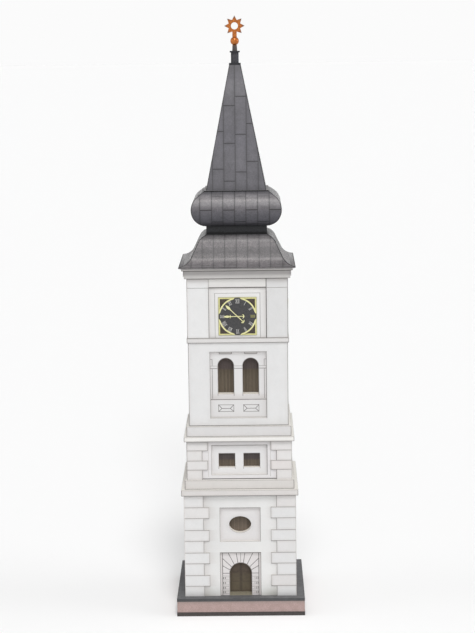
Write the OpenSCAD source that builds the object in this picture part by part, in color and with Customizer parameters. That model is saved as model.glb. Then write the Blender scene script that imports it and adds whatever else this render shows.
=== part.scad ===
// Card model of a baroque bell tower on a box base.
// Square plan, four like sides. Origin at the centre of the underside, +Z up,
// front towards -Y. All sizes in millimetres, at the model's own size.

/* [Base box] */
// Width of the base foot
base_w = 66.8; // [62:0.2:80]
// Height of the dark foot strip
foot_h = 2.1; // [1:0.1:6]
// Top of the base deck
base_top = 9.4; // [5.6:0.1:12.6]
// Height of the deck slab
deck_t = 1.5; // [0.3:0.1:3]

/* [Card] */
// Thickness of the wall card
card = 1.0; // [0.5:0.1:2]
// Thickness of raised layers (quoins, corner strips)
layer = 0.5; // [0.2:0.1:1]
// Thickness of the sunk panels
panel_t = 0.8; // [0.4:0.1:1.5]
// Thickness of window and door backing sheets
back_t = 0.6; // [0.3:0.1:1.5]
// Thickness of the reveal sleeves
sleeve_t = 0.6; // [0.3:0.1:1.5]

/* [Ground storey] */
// Half width of the ground storey over the quoins
g_half = 29.1; // [27:0.1:30]
// Top of the ground storey wall
g_top = 63.7; // [59.1:0.1:66.1]
// Width of a short quoin
g_quoin_short = 10.2; // [7:0.1:12.5]
// Width of a long quoin
g_quoin_long = 13.1; // [10.5:0.1:16]
// Height of a quoin course
g_course = 6.1; // [5:0.1:8]
// Height at which the quoin courses start, within the deck
g_course_z0 = 8.6; // [8.1:0.1:9.4]
// Half width of the sunk window panel
g_win_panel = 10.4; // [7.5:0.1:13]
// Bottom of the sunk window panel
g_win_z0 = 38.9; // [36.1:0.1:42.6]
// Top of the sunk window panel
g_win_z1 = 56.8; // [52.6:0.1:61.6]
// Centre height of the oval window
oval_z = 47.7; // [43.6:0.1:51.6]
// Half width of the oval window
oval_a = 5.75; // [4:0.05:7]
// Half height of the oval window
oval_b = 4.4; // [2:0.05:6]
// Depth of the oval window reveal from the panel face
oval_depth = 2.9; // [1:0.1:8]
// Half width of the sunk door panel
door_panel = 10.5; // [8:0.1:14]
// Top of the sunk door panel
door_panel_top = 32.7; // [29.1:0.1:34.1]
// Half width of the doorway
door_half = 5.75; // [4:0.05:7]
// Springing height of the door arch
door_spring = 21.2; // [14.6:0.1:23.6]
// Depth of the doorway from the panel face
door_depth = 5.6; // [2:0.1:12]

/* [Cornices and bands] */
// Half width of the ground cornice
c1_half = 30.3; // [29.3:0.1:33]
// Top of the ground cornice
c1_top = 66.8; // [64.6:0.1:70.6]
// Half width of the ground attic band
a1_half = 28.3; // [27.4:0.05:30]
// Top of the ground attic band
a1_top = 71.6; // [68.6:0.1:72.6]
// Half width of the second cornice
c2_half = 28.5; // [27.4:0.1:31]
// Top of the second cornice
c2_top = 94.5; // [92.6:0.1:98.6]
// Half width of the second attic band
a2_half = 27.05; // [25.8:0.05:29]
// Top of the second attic band
a2_top = 99.9; // [95.6:0.1:102.1]
// Half width of the string course
s_half = 26.2; // [25.9:0.1:29]
// Top of the string course
s_top = 145.9; // [144.1:0.1:147.1]

/* [Second storey] */
// Half width of the second storey over the quoins
m_half = 27.25; // [25:0.05:28.4]
// Top of the second storey wall
m_top = 92.1; // [91.4:0.1:94.1]
// Width of a short quoin
m_quoin_short = 8.1; // [6:0.1:10.5]
// Width of a long quoin
m_quoin_long = 10.95; // [8.5:0.05:12]
// Half width of the sunk panel
m_panel = 14.3; // [12.5:0.1:15.5]
// Bottom of the sunk panel
m_panel_z0 = 74.2; // [73.2:0.1:76.6]
// Top of the sunk panel
m_panel_z1 = 89.7; // [87.1:0.1:90.6]
// Width of a square window
m_win_w = 8.4; // [5:0.1:11]
// Bottom of the square windows
m_win_z0 = 77.75; // [75.9:0.05:82.6]
// Top of the square windows
m_win_z1 = 85.25; // [79.6:0.05:88.1]
// Distance of a window centre from the middle
m_win_x = 6.45; // [4.9:0.05:9]
// Depth of the square windows from the panel face
m_win_depth = 3.1; // [1:0.1:8]

/* [Belfry] */
// Half width of the belfry walls
b_half = 25.65; // [22:0.05:26.1]
// Top of the belfry walls
b_top = 143.45; // [140.6:0.05:145.1]
// Half width of the sunk panel
b_panel = 14.4; // [12:0.05:18]
// Bottom of the sunk panel
b_panel_z0 = 104.1; // [101.6:0.1:112.6]
// Top of the sunk panel
b_panel_z1 = 138.6; // [137.2:0.1:141.6]
// Width of a belfry window
b_win_w = 8.15; // [5:0.05:11]
// Bottom of the belfry windows
b_win_z0 = 116.3; // [106.6:0.1:127.6]
// Springing height of the window arches
b_spring = 131.2; // [119.6:0.1:133.1]
// Distance of a window centre from the middle
b_win_x = 6.4; // [4.8:0.05:9]
// Depth of the belfry windows from the panel face
b_win_depth = 5.2; // [1:0.1:9]

/* [Clock storey] */
// Half width over the corner strips
k_half = 25.87; // [22:0.01:27]
// Top of the clock storey
k_top = 176.9; // [173.1:0.1:179.1]
// Half width of the field between the corner strips
k_field = 14.6; // [10.5:0.1:18]
// Bottom of the frieze
k_frieze_z0 = 171.9; // [167.6:0.1:176.1]
// Centre height of the dial
clock_z = 157.2; // [155.8:0.1:161.6]
// Width of the clock square
clock_sq = 19.8; // [19.4:0.1:22]
// Radius of the dial
dial_r = 9.65; // [6:0.05:9.65]
// Angle of the hour hand, clockwise from the top
hour_angle = 269; // [0:1:359]
// Angle of the minute hand, clockwise from the top
minute_angle = 314; // [0:1:359]

/* [Main cornice and roof] */
// Half width of the main cornice at its bottom
mc_half = 27.1; // [26:0.1:27.5]
// Half width of the main cornice at its top
mc_half_top = 27.5; // [27.2:0.1:28.2]
// Top of the main cornice
mc_top = 181; // [179.1:0.1:181.7]
// Half width of the eaves fillet
f_half = 28.3; // [27.6:0.1:29.6]
// Top of the eaves fillet
f_top = 181.9; // [181.2:0.1:182.4]
// Half width of the roof skirt at the eaves
eave_half = 29.8; // [29.6:0.1:30.4]
// Height of the eaves edge
eave_z = 182.9; // [182.4:0.1:184.1]
// Half width of the dark neck
neck_half = 15.6; // [14.5:0.1:16.2]
// Half width of the spire at its foot
spire_half = 15.4; // [13:0.1:16.5]
// Half width of the spire at its top
spire_half_top = 2.95; // [1.5:0.05:2.95]
// Top of the spire
spire_top = 284.2; // [250:0.1:320]
// Half width of the plate under the spire
plate_half = 16.6; // [15.6:0.1:18]
// Thickness of the roof sheet
roof_t = 0.9; // [0.5:0.1:1.2]

/* [Finial] */
// Half width of the collar plate
collar_half = 3.0; // [3:0.05:5]
// Half width of the square shaft
shaft_half = 1.97; // [1.2:0.01:2.5]
// Radius of the ball
ball_r = 2.2; // [1.6:0.05:2.8]
// Tip radius of the star
star_tip = 5.25; // [4:0.05:7]
// Valley radius of the star
star_valley = 3.2; // [2.4:0.05:3.9]
// Radius of the hole in the star
star_hole = 1.8; // [0.8:0.05:2.1]
// Thickness of the star
star_t = 0.6; // [0.3:0.1:1.5]

/* [Hidden] */
$fn = 64;

// colours of the printed card and sheets
wall_col = [0.87, 0.86, 0.86];
trim_col = [0.78, 0.77, 0.75];
back_col = [0.33, 0.29, 0.24];
roof_col = [0.47, 0.46, 0.47];
dark_col = [0.18, 0.18, 0.18];
gold_col = [0.72, 0.42, 0.16];
yellow_col = [0.88, 0.86, 0.60];

g_wall = g_half - layer;          // outer face of the ground wall card
m_wall = m_half - layer;
k_wall = k_half - layer;
m_course_h = (m_top - a1_top) / 4;
collar_z1 = spire_top + 1.1;
shaft_z1 = collar_z1 + 5.25;
cap_z1 = shaft_z1 + 0.85;
stem_z1 = cap_z1 + 2.95;
ball_z = stem_z1 + ball_r - 0.15;
star_z = ball_z + 7.65;

// four like sides
module four() { for (a = [0:90:270]) rotate([0, 0, a]) children(); }

// box from low corner to high corner
module span(a, b) { translate(a) cube(b - a); }

// square tube: outer half width, wall, heights
module tube(h, t, z0, z1) {
  difference() {
    span([-h, -h, z0], [h, h, z1]);
    span([-h + t, -h + t, z0 - 1], [h - t, h - t, z1 + 1]);
  }
}

// flat sheet across the front: half width, front face y, thickness, heights
module sheet(hw, y, t, z0, z1) { span([-hw, y, z0], [hw, y + t, z1]); }

// a shape drawn in X-Z, pushed from y0 to y1
module through(y0, y1) {
  translate([0, y1, 0]) rotate([90, 0, 0]) linear_extrude(height = y1 - y0) children();
}

// round-headed opening: centre x, half width, bottom, springing
module arch2d(x, hw, z0, zs) {
  translate([x - hw, z0]) square([2 * hw, zs - z0]);
  intersection() {
    translate([x, zs]) circle(r = hw);
    translate([x - hw, zs - 0.01]) square([2 * hw, hw + 1]);
  }
}
module rect2d(x, hw, z0, z1) { translate([x - hw, z0]) square([2 * hw, z1 - z0]); }
module oval2d(a, b) { translate([0, oval_z]) scale([1, b / a]) circle(r = a); }

// path that turns from angle a0 to a1 with radius r, starting at p
function bend(p, r, a0, a1, n) =
  [for (i = [0:n]) let (a = a0 + (a1 - a0) * i / n)
    [p[0] + r * (sin(a) - sin(a0)), p[1] + r * (cos(a0) - cos(a))]];
function last(v) = v[len(v) - 1];
function go(p, a, d) = [p[0] + d * cos(a), p[1] + d * sin(a)];

// profile [half width, height] of the roof skirt, from the eaves to the neck
skirt_a = bend(go([eave_half, eave_z], 165, 1.5), -7.85, 165, 115.4, 12);
skirt_b = bend(go(last(skirt_a), 115.4, 7.75), 7, 115.4, 163, 10);
skirt_prof = concat([[eave_half, eave_z]], skirt_a, skirt_b);
skirt_top = last(skirt_prof);

// profile of the bulb, from the neck to the plate under the spire
bulb_z0 = eave_z + 19.7;
bulb_b = bend([neck_half + 0.1, bulb_z0], 8.8, 9, 90, 14);
bulb_c = bend(go(last(bulb_b), 90, 0.15), 8.6, 90, 132, 9);
bulb_d = go(last(bulb_c), 141, 3.57);
bulb_e = go(bulb_d, 150, 1.8);
bulb_prof = concat(bulb_b, bulb_c, [bulb_d, bulb_e]);
bulb_top = last(bulb_prof)[1];
plate_z1 = bulb_top + 0.5;

// square-plan form whose four sides all follow one profile
module four_sided(prof) {
  pts = concat(prof, [for (i = [len(prof) - 1:-1:0]) [-prof[i][0], prof[i][1]]]);
  intersection() {
    translate([0, 40, 0]) rotate([90, 0, 0]) linear_extrude(height = 80) polygon(pts);
    translate([-40, 0, 0]) rotate([90, 0, 90]) linear_extrude(height = 80) polygon(pts);
  }
}

// ---- base box ----
module base_foot() { color([0.29, 0.28, 0.27]) slab(base_w / 2, 0, foot_h); }
module base_sides() {
  color([0.70, 0.60, 0.58]) tube(base_w / 2 - 0.12, card, foot_h, base_top - deck_t);
}
module base_deck() {
  color([0.33, 0.34, 0.35])
    slab(base_w / 2 - 0.05, base_top - deck_t, base_top);
}

// ---- ground storey ----
module ground_walls() {
  color(wall_col) difference() {
    tube(g_wall, card, base_top, g_top);
    four() {
      sheet(g_win_panel, -g_wall - 1, card + 2, g_win_z0, g_win_z1);
      sheet(door_panel, -g_wall - 1, card + 2, base_top - 1, door_panel_top);
    }
  }
}
// zig-zag corner stones between zlo and zhi: an L strip one short stone wide,
// and longer stones on every other course, counted up from z0
module quoins(half, zlo, zhi, z0, ch, short, long) {
  four() difference() {
    union() {
      span([-half, -half, zlo], [-half + short, -half + short, zhi]);
      for (i = [1:2:floor((zhi - z0) / ch)])
        span([-half, -half, max(zlo, z0 + i * ch)],
          [-half + long, -half + long, min(zhi, z0 + (i + 1) * ch)]);
    }
    span([-half + layer, -half + layer, zlo - 1], [40, 40, zhi + 1]);
  }
}
module ground_quoins() {
  color(wall_col) quoins(g_half, base_top, g_top, g_course_z0, g_course,
    g_quoin_short, g_quoin_long);
}
module ground_window_panels() {
  y = -g_wall + card;
  color(wall_col) four() difference() {
    union() {
      sheet(g_win_panel + 1.5, y, panel_t, g_win_z0 - 1.5, g_win_z1 + 1.5);
      through(y, y + oval_depth) oval2d(oval_a + sleeve_t, oval_b + sleeve_t);
    }
    through(y - 1, y + oval_depth + 1) oval2d(oval_a, oval_b);
  }
}
module ground_window_backs() {
  y = -g_wall + card + oval_depth;
  color(back_col) four() sheet(oval_a + 1.2, y, back_t, oval_z - oval_b - 1.2, oval_z + oval_b + 1.2);
}
module door_surrounds() {
  y = -g_wall + card;
  color(wall_col) four() difference() {
    union() {
      sheet(door_panel + 1.5, y, panel_t, base_top, door_panel_top + 1.5);
      through(y, y + door_depth) arch2d(0, door_half + sleeve_t, base_top, door_spring);
    }
    through(y - 1, y + door_depth + 1) arch2d(0, door_half, base_top - 1, door_spring);
  }
}
module doors() {
  y = -g_wall + card + door_depth;
  color(back_col) four() {
    sheet(door_half + 1, y, back_t, base_top, door_spring + door_half + 1);
  }
}

// ---- cornices and bands ----
module slab(h, z0, z1) { span([-h, -h, z0], [h, h, z1]); }
module ground_cornice() { color(trim_col) slab(c1_half, g_top, c1_top); }
module ground_attic_band() { color(wall_col) tube(a1_half, 2.9, c1_top, a1_top); }
module second_cornice() { color(trim_col) slab(c2_half, m_top, c2_top); }
module second_attic_band() { color(wall_col) tube(a2_half, 2.4, c2_top, a2_top); }
module string_course() { color(trim_col) slab(s_half, b_top, s_top); }

// ---- second storey ----
module second_walls() {
  color(wall_col) difference() {
    tube(m_wall, card, a1_top, m_top);
    four() sheet(m_panel, -m_wall - 1, card + 2, m_panel_z0, m_panel_z1);
  }
}
module second_quoins() {
  color(wall_col) quoins(m_half, a1_top, m_top, a1_top, m_course_h, m_quoin_short, m_quoin_long);
}
module second_window_panels() {
  y = -m_wall + card;
  color(wall_col) four() difference() {
    union() {
      sheet(m_panel + 1.5, y, panel_t, m_panel_z0 - 1.5, m_panel_z1 + 1.5);
      for (s = [-1, 1]) through(y, y + m_win_depth)
        rect2d(s * m_win_x, m_win_w / 2 + sleeve_t, m_win_z0 - sleeve_t, m_win_z1 + sleeve_t);
    }
    for (s = [-1, 1]) through(y - 1, y + m_win_depth + 1)
      rect2d(s * m_win_x, m_win_w / 2, m_win_z0, m_win_z1);
  }
}
module second_window_backs() {
  y = -m_wall + card + m_win_depth;
  color(back_col) four() sheet(m_win_x + m_win_w / 2 + 1.2, y, back_t, m_win_z0 - 1.2, m_win_z1 + 1.2);
}

// ---- belfry ----
module belfry_walls() {
  color(wall_col) difference() {
    tube(b_half, card, a2_top, b_top);
    four() sheet(b_panel, -b_half - 1, card + 2, b_panel_z0, b_panel_z1);
  }
}
module belfry_window_panels() {
  y = -b_half + card;
  color(wall_col) four() difference() {
    union() {
      sheet(b_panel + 1.5, y, panel_t, b_panel_z0 - 1.5, b_panel_z1 + 1.5);
      for (s = [-1, 1]) through(y, y + b_win_depth)
        arch2d(s * b_win_x, b_win_w / 2 + sleeve_t, b_win_z0 - sleeve_t, b_spring);
    }
    for (s = [-1, 1]) through(y - 1, y + b_win_depth + 1)
      arch2d(s * b_win_x, b_win_w / 2, b_win_z0, b_spring);
  }
}
module belfry_window_backs() {
  y = -b_half + card + b_win_depth;
  color(back_col) four() sheet(b_win_x + b_win_w / 2 + 1.2, y, back_t, b_win_z0 - 1.2, b_spring + b_win_w / 2 + 1.2);
}

// ---- clock storey ----
module clock_walls() { color(wall_col) tube(k_wall, card, s_top, k_top); }
module clock_corner_strips() {
  color(wall_col) four() difference() {
    span([-k_half, -k_half, s_top], [-k_field, -k_field, k_top]);
    span([-k_wall, -k_wall, s_top - 1], [40, 40, k_top + 1]);
  }
}
module clock_friezes() {
  color(wall_col) four() sheet(k_field, -k_half, layer, k_frieze_z0, k_top);
}
module clock_squares() {
  color(yellow_col) four()
    sheet(clock_sq / 2, -k_wall - 0.3, 0.3, clock_z - clock_sq / 2, clock_z + clock_sq / 2);
}
module clock_dials() {
  color([0.30, 0.30, 0.31]) four() translate([0, -k_wall - 0.3, clock_z]) rotate([90, 0, 0])
    cylinder(r = dial_r, h = 0.3);
}
// hand pointing up from the dial centre: length, leaf width, tail length
module hand2d(l, w, tail) {
  polygon([[-0.28, -tail], [-0.28, l * 0.42], [-w / 2, l * 0.62], [-0.2, l * 0.82],
    [0, l], [0.2, l * 0.82], [w / 2, l * 0.62], [0.28, l * 0.42], [0.28, -tail]]);
  circle(r = 0.75);
  translate([0, -tail]) difference() {
    circle(r = 0.95);
    translate([0, -0.45]) circle(r = 0.75);
  }
}
module hand(a, y, l, w, tail) {
  translate([0, y, clock_z]) rotate([90, 0, 0]) linear_extrude(height = 0.2)
    rotate([0, 0, -a]) hand2d(l, w, tail);
}
module hour_hands() {
  color(yellow_col) four() hand(hour_angle, -k_wall - 0.6, 7.2, 1.9, 3.0);
}
module minute_hands() {
  color(yellow_col) four() hand(minute_angle, -k_wall - 0.8, 8.3, 1.3, 4.2);
}

// ---- main cornice and roof ----
module main_cornice() {
  color(trim_col) four_sided([[mc_half, k_top], [mc_half + 0.1, k_top + 1.5],
    [mc_half_top, mc_top - 0.4], [mc_half_top, mc_top]]);
}
module eaves_fillet() { color(trim_col) slab(f_half, mc_top, f_top); }
module roof_skirt() {
  inner = [for (p = skirt_prof) [p[0] - roof_t, p[1] - 0.55]];
  color(roof_col) difference() {
    four_sided(concat([[f_half, f_top], [eave_half, eave_z - 0.4]], skirt_prof));
    four_sided(concat([[eave_half - 5.5, f_top - 1], [eave_half - 5.5, f_top + 0.4]],
      [for (p = inner) if (p[0] < eave_half - 5.6) p],
      [[neck_half - roof_t, skirt_top[1] + 1]]));
  }
}
module roof_neck() { color(dark_col) tube(neck_half, roof_t, skirt_top[1], bulb_z0); }
module roof_bulb() {
  zc = (bulb_z0 + bulb_top) / 2;
  k = 1 - 0.6 / ((bulb_top - bulb_z0) / 2);
  inner = [for (p = bulb_prof) [p[0] - roof_t, zc + (p[1] - zc) * k]];
  color(roof_col) difference() {
    four_sided(bulb_prof);
    four_sided(inner);
    slab(neck_half - roof_t, bulb_z0 - 1, bulb_z0 + 2);
    slab(plate_half - 2, bulb_top - 2, bulb_top + 1);
  }
}
module spire_base_plate() { color(dark_col) slab(plate_half, bulb_top, plate_z1); }
module spire() {
  s = (spire_half - spire_half_top) / (spire_top - plate_z1);
  color(roof_col) difference() {
    four_sided([[spire_half, plate_z1], [spire_half_top, spire_top]]);
    four_sided([[spire_half - roof_t + s, plate_z1 - 1],
      [spire_half_top - roof_t + s * 1.5, spire_top - 1.5]]);
  }
}

// ---- finial ----
module spire_collar() { color(dark_col) slab(collar_half, spire_top, collar_z1); }
module finial_shaft() { color([0.30, 0.30, 0.30]) slab(shaft_half, collar_z1, shaft_z1); }
module finial_cap() { color(dark_col) slab(2.55, shaft_z1, cap_z1); }
module finial_stem() {
  color([0.30, 0.29, 0.28]) translate([0, 0, cap_z1]) cylinder(r1 = 1.3, r2 = 1.15, h = stem_z1 - cap_z1);
}
module finial_ball() {
  color(gold_col) difference() {
    translate([0, 0, ball_z]) sphere(r = ball_r);
    slab(3, stem_z1 - 3, stem_z1);
    slab(3, ball_z + ball_r - 0.2, ball_z + ball_r + 2);
  }
}
module star2d() {
  difference() {
    union() {
      polygon([for (i = [0:15]) let (r = (i % 2 == 0) ? star_tip : star_valley,
        a = 90 + i * 22.5) if (i != 8) [r * cos(a), r * sin(a)]]);
      translate([-1.12, -star_z + ball_z + ball_r - 0.2]) square([2.24, star_z - ball_z - ball_r + 0.2 - star_hole - 0.2]);
    }
    circle(r = star_hole);
  }
}
module finial_star() {
  color(gold_col) translate([0, star_t / 2, star_z]) rotate([90, 0, 0])
    linear_extrude(height = star_t) star2d();
}

base_foot();
base_sides();
base_deck();
ground_walls();
ground_quoins();
ground_window_panels();
ground_window_backs();
door_surrounds();
doors();
ground_cornice();
ground_attic_band();
second_walls();
second_quoins();
second_window_panels();
second_window_backs();
second_cornice();
second_attic_band();
belfry_walls();
belfry_window_panels();
belfry_window_backs();
string_course();
clock_walls();
clock_corner_strips();
clock_friezes();
clock_squares();
clock_dials();
hour_hands();
minute_hands();
main_cornice();
eaves_fillet();
roof_skirt();
roof_neck();
roof_bulb();
spire_base_plate();
spire();
spire_collar();
finial_shaft();
finial_cap();
finial_stem();
finial_ball();
finial_star();
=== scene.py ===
import math

import bpy
import numpy as np
from mathutils import Matrix, Vector


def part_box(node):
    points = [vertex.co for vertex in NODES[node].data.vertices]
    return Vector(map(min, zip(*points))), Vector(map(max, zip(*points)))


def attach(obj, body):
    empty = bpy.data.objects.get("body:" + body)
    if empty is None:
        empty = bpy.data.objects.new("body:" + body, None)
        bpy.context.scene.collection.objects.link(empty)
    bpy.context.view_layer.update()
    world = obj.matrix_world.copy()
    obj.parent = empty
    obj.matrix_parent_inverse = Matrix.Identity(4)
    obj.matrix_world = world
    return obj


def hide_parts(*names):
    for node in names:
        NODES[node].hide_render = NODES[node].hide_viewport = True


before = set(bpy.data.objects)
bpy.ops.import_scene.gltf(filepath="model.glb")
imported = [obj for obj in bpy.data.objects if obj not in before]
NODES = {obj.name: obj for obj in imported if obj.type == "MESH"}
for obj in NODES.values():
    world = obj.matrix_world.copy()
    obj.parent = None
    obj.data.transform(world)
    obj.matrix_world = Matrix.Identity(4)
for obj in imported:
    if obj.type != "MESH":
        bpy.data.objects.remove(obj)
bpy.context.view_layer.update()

MM = 0.001


def top(node):
    """Highest z of a CAD node, in mm."""
    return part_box(node)[1].z / MM


def foot(node):
    """Lowest z of a CAD node, in mm."""
    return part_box(node)[0].z / MM


def half(node):
    """Half width of a CAD node across the front, in mm."""
    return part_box(node)[1].x / MM


# --------------------------------------------------------------------------
# heights and half widths, in mm: those of whole parts read from model.glb, the rest given as numbers
# --------------------------------------------------------------------------
BASE, FOOT_TOP, ROSE_TOP, DECK = half("base_foot"), top("base_foot"), top("base_sides"), top("base_deck")
DECK_HALF = half("base_deck")
G_QUOIN, G_WALL, G_PANEL = half("ground_quoins"), half("ground_walls"), half("ground_window_panels")
G_TOP = top("ground_walls")
C1, C1_TOP = half("ground_cornice"), top("ground_cornice")
A1, A1_TOP = half("ground_attic_band"), top("ground_attic_band")
M_QUOIN, M_WALL, M_PANEL = half("second_quoins"), half("second_walls"), half("second_window_panels")
M_TOP = top("second_walls")
C2, C2_TOP = half("second_cornice"), top("second_cornice")
A2, A2_TOP = half("second_attic_band"), top("second_attic_band")
B_WALL, B_PANEL, B_TOP = half("belfry_walls"), half("belfry_window_panels"), top("belfry_walls")
S_HALF, S_TOP = half("string_course"), top("string_course")
K_STRIP, K_WALL, K_TOP = half("clock_corner_strips"), half("clock_walls"), top("clock_walls")
FRIEZE_Z0 = foot("clock_friezes")
MC, MC_TOP = half("main_cornice"), top("main_cornice")
F_HALF, F_TOP = half("eaves_fillet"), top("eaves_fillet")
EAVE, EAVE_LOW, SKIRT_TOP = half("roof_skirt"), foot("roof_skirt"), top("roof_skirt")
NECK = half("roof_neck")
BULB_Z0, BULB_TOP = foot("roof_bulb"), top("roof_bulb")
PLATE, PLATE_TOP = half("spire_base_plate"), top("spire_base_plate")
SPIRE, SPIRE_TOP = half("spire"), top("spire")
SPIRE_END = half("spire_collar") - 0.05
STAR_Z = top("finial_star") - 5.25
BALL_LO, BALL_HI, BALL_R = foot("finial_ball"), top("finial_ball"), half("finial_ball")
DIAL_FACE = half("clock_dials")
DIAL_R = (top("clock_dials") - foot("clock_dials")) / 2
CLOCK_Z = (top("clock_dials") + foot("clock_dials")) / 2
SQUARE = (top("clock_squares") - foot("clock_squares")) / 2
SQUARE_FACE = half("clock_squares")
SHEET = 1.5                      # how far a sunk panel runs on behind the wall card
PANEL_W = 10.4
PANEL_Z0, PANEL_Z1 = foot("ground_window_panels") + SHEET, top("ground_window_panels") - SHEET
OVAL_Z = (top("ground_window_backs") + foot("ground_window_backs")) / 2
OVAL_A, OVAL_B = 5.75, (top("ground_window_backs") - foot("ground_window_backs")) / 2 - 1.2
DOOR_W, DOOR_TOP, DOOR_HALF = 10.5, top("door_surrounds") - SHEET, 5.75
DOOR_SPRING = top("doors") - 1.0 - DOOR_HALF
MP_W, MP_Z0, MP_Z1 = 14.3, foot("second_window_panels") + SHEET, top("second_window_panels") - SHEET
MW_X, MW_W = 6.45, 8.4
MW_Z0, MW_Z1 = foot("second_window_backs") + 1.2, top("second_window_backs") - 1.2
BP_W, BP_Z0, BP_Z1 = 14.4, foot("belfry_window_panels") + SHEET, top("belfry_window_panels") - SHEET
BW_X, BW_W = 6.4, 8.15
BW_Z0 = foot("belfry_window_backs") + 1.2
BW_SPRING = top("belfry_window_backs") - 1.2 - BW_W / 2
K_FIELD = 14.6
G_CH, G_Z0 = 6.1, DECK - 0.8
G_SHORT, G_LONG = 10.2, 13.1
M_CH = (M_TOP - A1_TOP) / 4
M_SHORT, M_LONG = 8.1, 10.95


# --------------------------------------------------------------------------
# camera, at the photograph's viewing angle
# --------------------------------------------------------------------------
def make_camera():
    focal, pitch, yaw, roll = 1641.28222, 0.158195229, -0.0117777009, 0.0127988414
    cam = bpy.data.cameras.new("camera")
    cam.sensor_fit = "HORIZONTAL"
    cam.sensor_width = 36.0
    cam.lens = focal / 475.0 * 36.0
    cam.clip_start, cam.clip_end = 0.02, 400.0
    ob = bpy.data.objects.new("camera", cam)
    bpy.context.scene.collection.objects.link(ob)
    forward = Vector((math.sin(yaw) * math.cos(pitch), math.cos(yaw) * math.cos(pitch), -math.sin(pitch)))
    right = Vector((math.cos(yaw), -math.sin(yaw), 0.0))
    up = right.cross(forward)
    r2 = math.cos(roll) * right - math.sin(roll) * up
    u2 = math.sin(roll) * right + math.cos(roll) * up
    place = Vector((9.75310866, -855.170214, 289.429897)) * MM
    ob.matrix_world = Matrix((
        (r2.x, u2.x, -forward.x, place.x),
        (r2.y, u2.y, -forward.y, place.y),
        (r2.z, u2.z, -forward.z, place.z),
        (0, 0, 0, 1)))
    bpy.context.scene.camera = ob


make_camera()


# --------------------------------------------------------------------------
# node arithmetic: numbers and colours in a material's tree
# --------------------------------------------------------------------------
class Num:
    """A number inside a node tree, which can be added, multiplied and so on."""

    def __init__(self, tree, socket):
        self.t, self.s = tree, socket

    def _op(self, op, *others, clamp=False):
        n = self.t.nodes.new("ShaderNodeMath")
        n.operation = op
        n.use_clamp = clamp
        for i, v in enumerate((self,) + others):
            put(self.t, n.inputs[i], v)
        return Num(self.t, n.outputs[0])

    def __add__(self, o): return self._op("ADD", o)
    def __radd__(self, o): return self._op("ADD", o)
    def __sub__(self, o): return self._op("SUBTRACT", o)
    def __rsub__(self, o): return (self * -1.0) + o
    def __mul__(self, o): return self._op("MULTIPLY", o)
    def __rmul__(self, o): return self._op("MULTIPLY", o)
    def __truediv__(self, o): return self._op("DIVIDE", o)
    def abs(self): return self._op("ABSOLUTE")
    def floor(self): return self._op("FLOOR")
    def mod2(self): return self._op("FLOORED_MODULO", 2.0)
    def min(self, o): return self._op("MINIMUM", o)
    def max(self, o): return self._op("MAXIMUM", o)
    def over(self, o): return self._op("GREATER_THAN", o)
    def under(self, o): return self._op("LESS_THAN", o)
    def sign(self): return self._op("SIGN")
    def power(self, o): return self._op("POWER", o)

    def ramp(self, lo, hi, a=0.0, b=1.0, smooth=True):
        """a below lo, b above hi, a smooth step between."""
        n = self.t.nodes.new("ShaderNodeMapRange")
        n.interpolation_type = "SMOOTHSTEP" if smooth else "LINEAR"
        n.clamp = True
        put(self.t, n.inputs["Value"], self)
        n.inputs["From Min"].default_value, n.inputs["From Max"].default_value = lo, hi
        n.inputs["To Min"].default_value, n.inputs["To Max"].default_value = a, b
        return Num(self.t, n.outputs["Result"])

    def band(self, centre, reach):
        """1 at centre, falling smoothly to 0 at reach from it."""
        return (self - centre).abs().ramp(0.0, reach, 1.0, 0.0)

    def fade(self, reach):
        """1 at nought and below, falling to 0 at reach, fast at first and then slowly."""
        k = self.ramp(0.0, reach, 1.0, 0.0, smooth=False)
        return k * k


def put(tree, socket, v):
    if isinstance(v, Num):
        tree.links.new(v.s, socket)
    elif isinstance(v, (tuple, list)):
        socket.default_value = (*v[:3], 1.0) if len(socket.default_value) == 4 else tuple(v[:3])
    else:
        socket.default_value = v


GAIN = 0.80                      # the light is a little stronger than the print's own range


def grey(c):
    """Linear value of one sRGB channel given in 0-255."""
    c = c / 255
    return (c / 12.92 if c <= 0.04045 else ((c + 0.055) / 1.055) ** 2.4) * GAIN


def srgb(r, g, b):
    """Linear colour of an sRGB one given in 0-255."""
    return (grey(r), grey(g), grey(b))


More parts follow.
